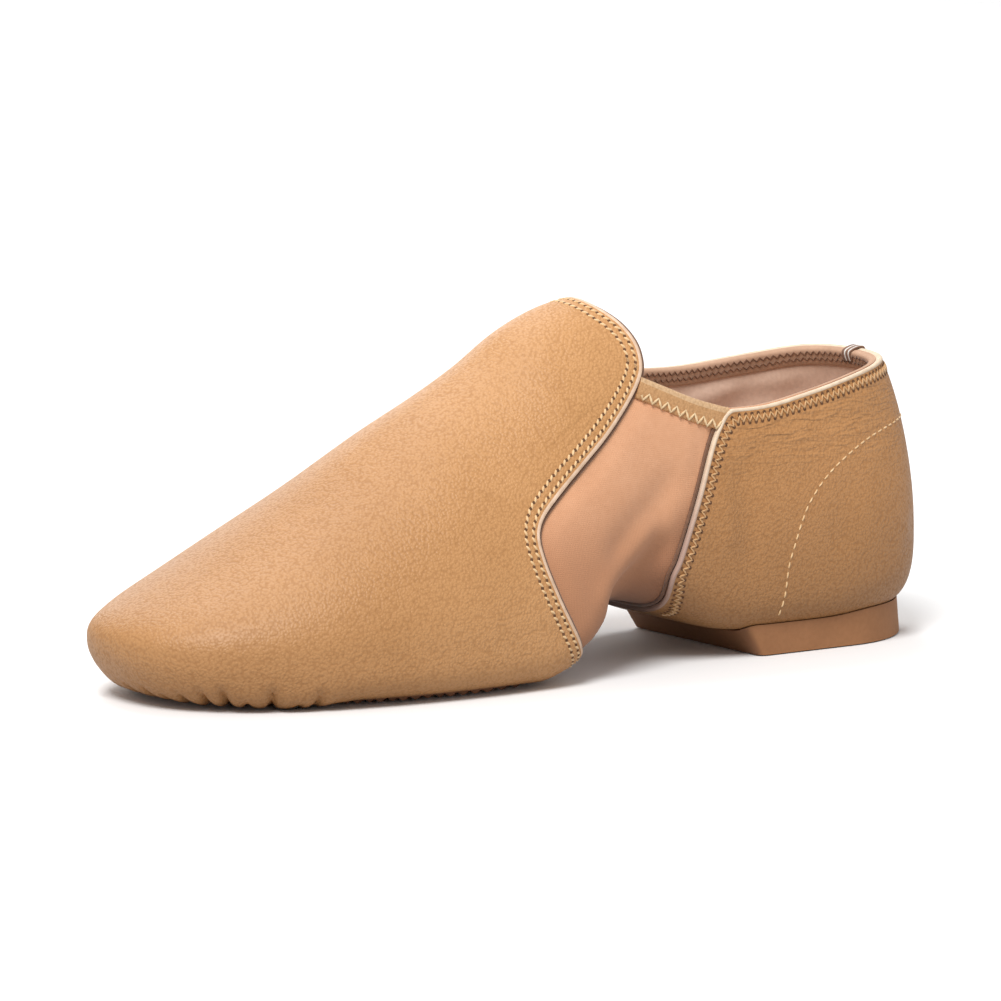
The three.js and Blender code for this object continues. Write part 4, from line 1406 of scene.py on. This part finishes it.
sole_rubber = rubber("sole_rubber", (0.33, 0.145, 0.07), (0.42, 0.2, 0.11), 0.0, 0.0008)
line = contour(patch_depth, (9.5, end - 0.3))[0]
path = Path(line, 0.9, patch_depth, closed=True)
count = len(path.t)
edge_a = np.mod(path.a + 0.5, 1) - 0.5
center_t, center_a = 13.6, float(edge_a.mean())
patch_top, patch_floor = 3.62, 4.06
shares = [(share, patch_top) for share in (0.0, 0.4, 0.8, 0.97)]
shares += [(1.0, 3.66), (1.004, 3.85), (1.0, 3.98), (0.99, patch_floor)]
shares += [(share, patch_floor) for share in np.linspace(0.96, 0.0, 26)]
points = []
for share, out in shares:
    t, a = center_t + (path.t - center_t) * share, center_a + (edge_a - center_a) * share
    points.append(surface(t, a, out)[0])
faces = net_faces(len(shares), count)
plate = mesh_piece("sole_patch", np.vstack(points), faces, [sole_rubber], None, 50)
outward(plate, 1e-7)
tread_turn, sole_pitch, sole_margin = math.radians(45), 2.7, 1.5
outline = surface(path.t, path.a, patch_floor)[0][:, :2]
teeth = treaded("sole_tread", plate, outline, sole_pitch, tread_turn, sole_margin, sole_rubber,
                Base=2.45, Height=0.85, Tip=0.5)
part(plate, "sole_rubber", "outsole")
part(teeth, "sole_rubber")

# The heel: a low block of the same rubber, cupped on top to the quarter and cut straight at the breast, with a
# coarser tread.
heel_back, heel_length, heel_width, heel_rim, heel_corner = 3.5, 70.0, 58.0, 15.0, 1.5
heel_lean, breast_slope = 1.5, 10.0


def heel_outline(margin, foot, count=200):
    """The block seen from above, drawn in by a margin; foot is 1 on the floor and 0 at the rim."""
    rear, front = heel_back + margin - heel_lean * foot, heel_back + heel_length - margin - breast_slope * foot
    half = heel_width / 2 - margin
    depth = half * 1.05
    turn = np.linspace(math.pi / 2, 1.5 * math.pi, 80)
    arc = np.stack([rear + depth + depth * np.cos(turn), half * np.sin(turn)], 1)
    corner = heel_corner
    ahead = [(front, -half + corner), (front, half - corner), (front - corner, half)]
    shape = np.vstack([ahead, arc, [(front - corner, -half)]])
    loop = np.vstack([shape, shape[:1]])
    run = travelled(loop)
    at = np.linspace(0, run[-1], count + 1)[:-1]
    even = np.stack([np.interp(at, run, loop[:, k]) for k in (0, 1)], 1)
    return (np.roll(even, 1, 0) + 2 * even + np.roll(even, -1, 0)) / 4


t, a = np.meshgrid(np.arange(0, 8.5, 0.05), np.arange(240) / 240, indexing="ij")
cup = surface(t, a, under_skin + 0.02)[0]
cup_tree = BVHTree.FromPolygons([Vector(p) for p in cup.reshape(-1, 3)], net_faces(*t.shape))


def cup_height(x, y):
    """How high the quarter's underside lies over a point of the floor."""
    hit = cup_tree.ray_cast(Vector((x, y, -20)), Vector((0, 0, 1)))[0]
    return heel_rim if hit is None else min(hit.z, heel_rim)


rows = []
for margin, z in ((1.6, 0.95), (0.9, 0.9), (0.35, 0.4), (0.1, 0.32), (0.0, 0.55), (0.0, 1.0)):
    outline = heel_outline(margin, 1 - z / heel_rim)
    rows.append(np.column_stack([outline, np.full(len(outline), z)]))
base_outline, top_outline = heel_outline(0, 1), heel_outline(0, 0)
rim = np.zeros((len(base_outline), 3))
for k, (low_point, high_point) in enumerate(zip(base_outline, top_outline)):
    z = 10.0
    for _ in range(6):
        x, y = mix(low_point, high_point, z / heel_rim)
        z = cup_height(x, y)
    rim[k] = (x, y, z)
foot = rows[-1]
rows += [mix(foot, rim, f) for f in (0.2, 0.4, 0.6, 0.8, 0.93)]
inward = unit(np.column_stack([foot[:, :2].mean(0) - rim[:, :2], np.zeros(len(rim))]))
rows.append(rim + inward * 0.12 - (0, 0, 0.12))
center = np.array([36.0, 0.0])
for share in (0.985, 0.93, 0.85, 0.72, 0.55, 0.36, 0.18, 0.0):
    flat = center + (rim[:, :2] - center) * share
    rows.append(np.array([(x, y, cup_height(x, y)) for x, y in flat]))
floor_middle = rows[0].mean(0)
rows = [floor_middle + (rows[0] - floor_middle) * f for f in (0.0, 0.25, 0.5, 0.75)] + rows
faces = net_faces(len(rows), len(base_outline))
heel_rubber = rubber("heel_rubber", (0.34, 0.15, 0.06), (0.41, 0.186, 0.078), 0.0, 0.0009)
# Painted shade on the breast: where the surface faces the toe, the rubber's colour goes much darker.
tree = heel_rubber.node_tree
base_color = tree.nodes["Principled BSDF"].inputs["Base Color"]
split = node(tree, "ShaderNodeSeparateXYZ", {0: tree.nodes.new("ShaderNodeNewGeometry").outputs["Normal"]})
front = ranged(tree, split.outputs[0], 0.45, 0.75, "LINEAR")
colored(heel_rubber, mix_color(tree, front, base_color.links[0].from_socket, (0.24, 0.105, 0.045)))
block = mesh_piece("heel_block", np.vstack(rows), faces, [heel_rubber], None, 40)
outward(block, 1e-7)
heel_pitch, heel_margin = 3.6, 0.9
teeth = treaded("heel_tread", block, heel_outline(1.6, 1), heel_pitch, tread_turn, heel_margin, heel_rubber,
                Base=3.3, Height=0.95, Tip=0.6)
part(block, "sole_rubber", "heel")
part(teeth, "sole_rubber")

# The camera at the photo's angle, plain soft studio light and a pale floor. The floor is a backdrop: it is
# whiter to the camera than to the light that it throws back on the shoe.
yaw, lift, distance, view_angle = math.radians(34.63), math.radians(8.407), 1.825, math.radians(8.26)
aim = Vector((0.0026, -0.0018, 0.0432))
back = Vector((math.sin(yaw) * math.cos(lift), math.cos(yaw) * math.cos(lift), math.sin(lift)))
camera = linked("camera", bpy.data.cameras.new("camera"))
camera.data.angle = view_angle
camera.data.clip_start, camera.data.clip_end = 0.1, 20
camera.location = aim + back * distance
camera.rotation_euler = back.to_track_quat("Z", "Y").to_euler()
bpy.context.scene.camera = camera
bpy.context.scene.view_settings.view_transform = "Standard"

floor_mesh = bpy.data.meshes.new("floor")
floor_mesh.from_pydata([(-4, -4, 0), (4, -4, 0), (4, 4, 0), (-4, 4, 0)], [], [(0, 1, 2, 3)])
floor_white = shader("floor_white", (0.95, 0.95, 0.95), 0.9)
seen = floor_white.node_tree.nodes.new("ShaderNodeLightPath").outputs["Is Camera Ray"]
pale = mix_color(floor_white.node_tree, seen, (0.58, 0.58, 0.58), (0.95, 0.95, 0.95))
colored(floor_white, pale)
floor_mesh.materials.append(floor_white)
linked("floor", floor_mesh)

world = bpy.data.worlds.new("studio")
world.use_nodes = True
world.node_tree.nodes["Background"].inputs["Color"].default_value = (1, 1, 1, 1)
world.node_tree.nodes["Background"].inputs["Strength"].default_value = 0.53
bpy.context.scene.world = world


def soft_light(name, place, size, power):
    """A round soft lamp that points at the shoe."""
    data = bpy.data.lights.new(name, "AREA")
    data.shape, data.size, data.energy = "DISK", size, power
    lamp = linked(name, data)
    lamp.location = place
    lamp.rotation_euler = (Vector(place) - Vector((0, 0, 0.04))).to_track_quat("Z", "Y").to_euler()


soft_light("key", (1.45, 1.1, 2.35), 1.3, 75)
soft_light("top", (-0.3, -1.4, 2.7), 1.2, 28)
soft_light("back", (-0.8, -2.4, 1.0), 1.4, 10)
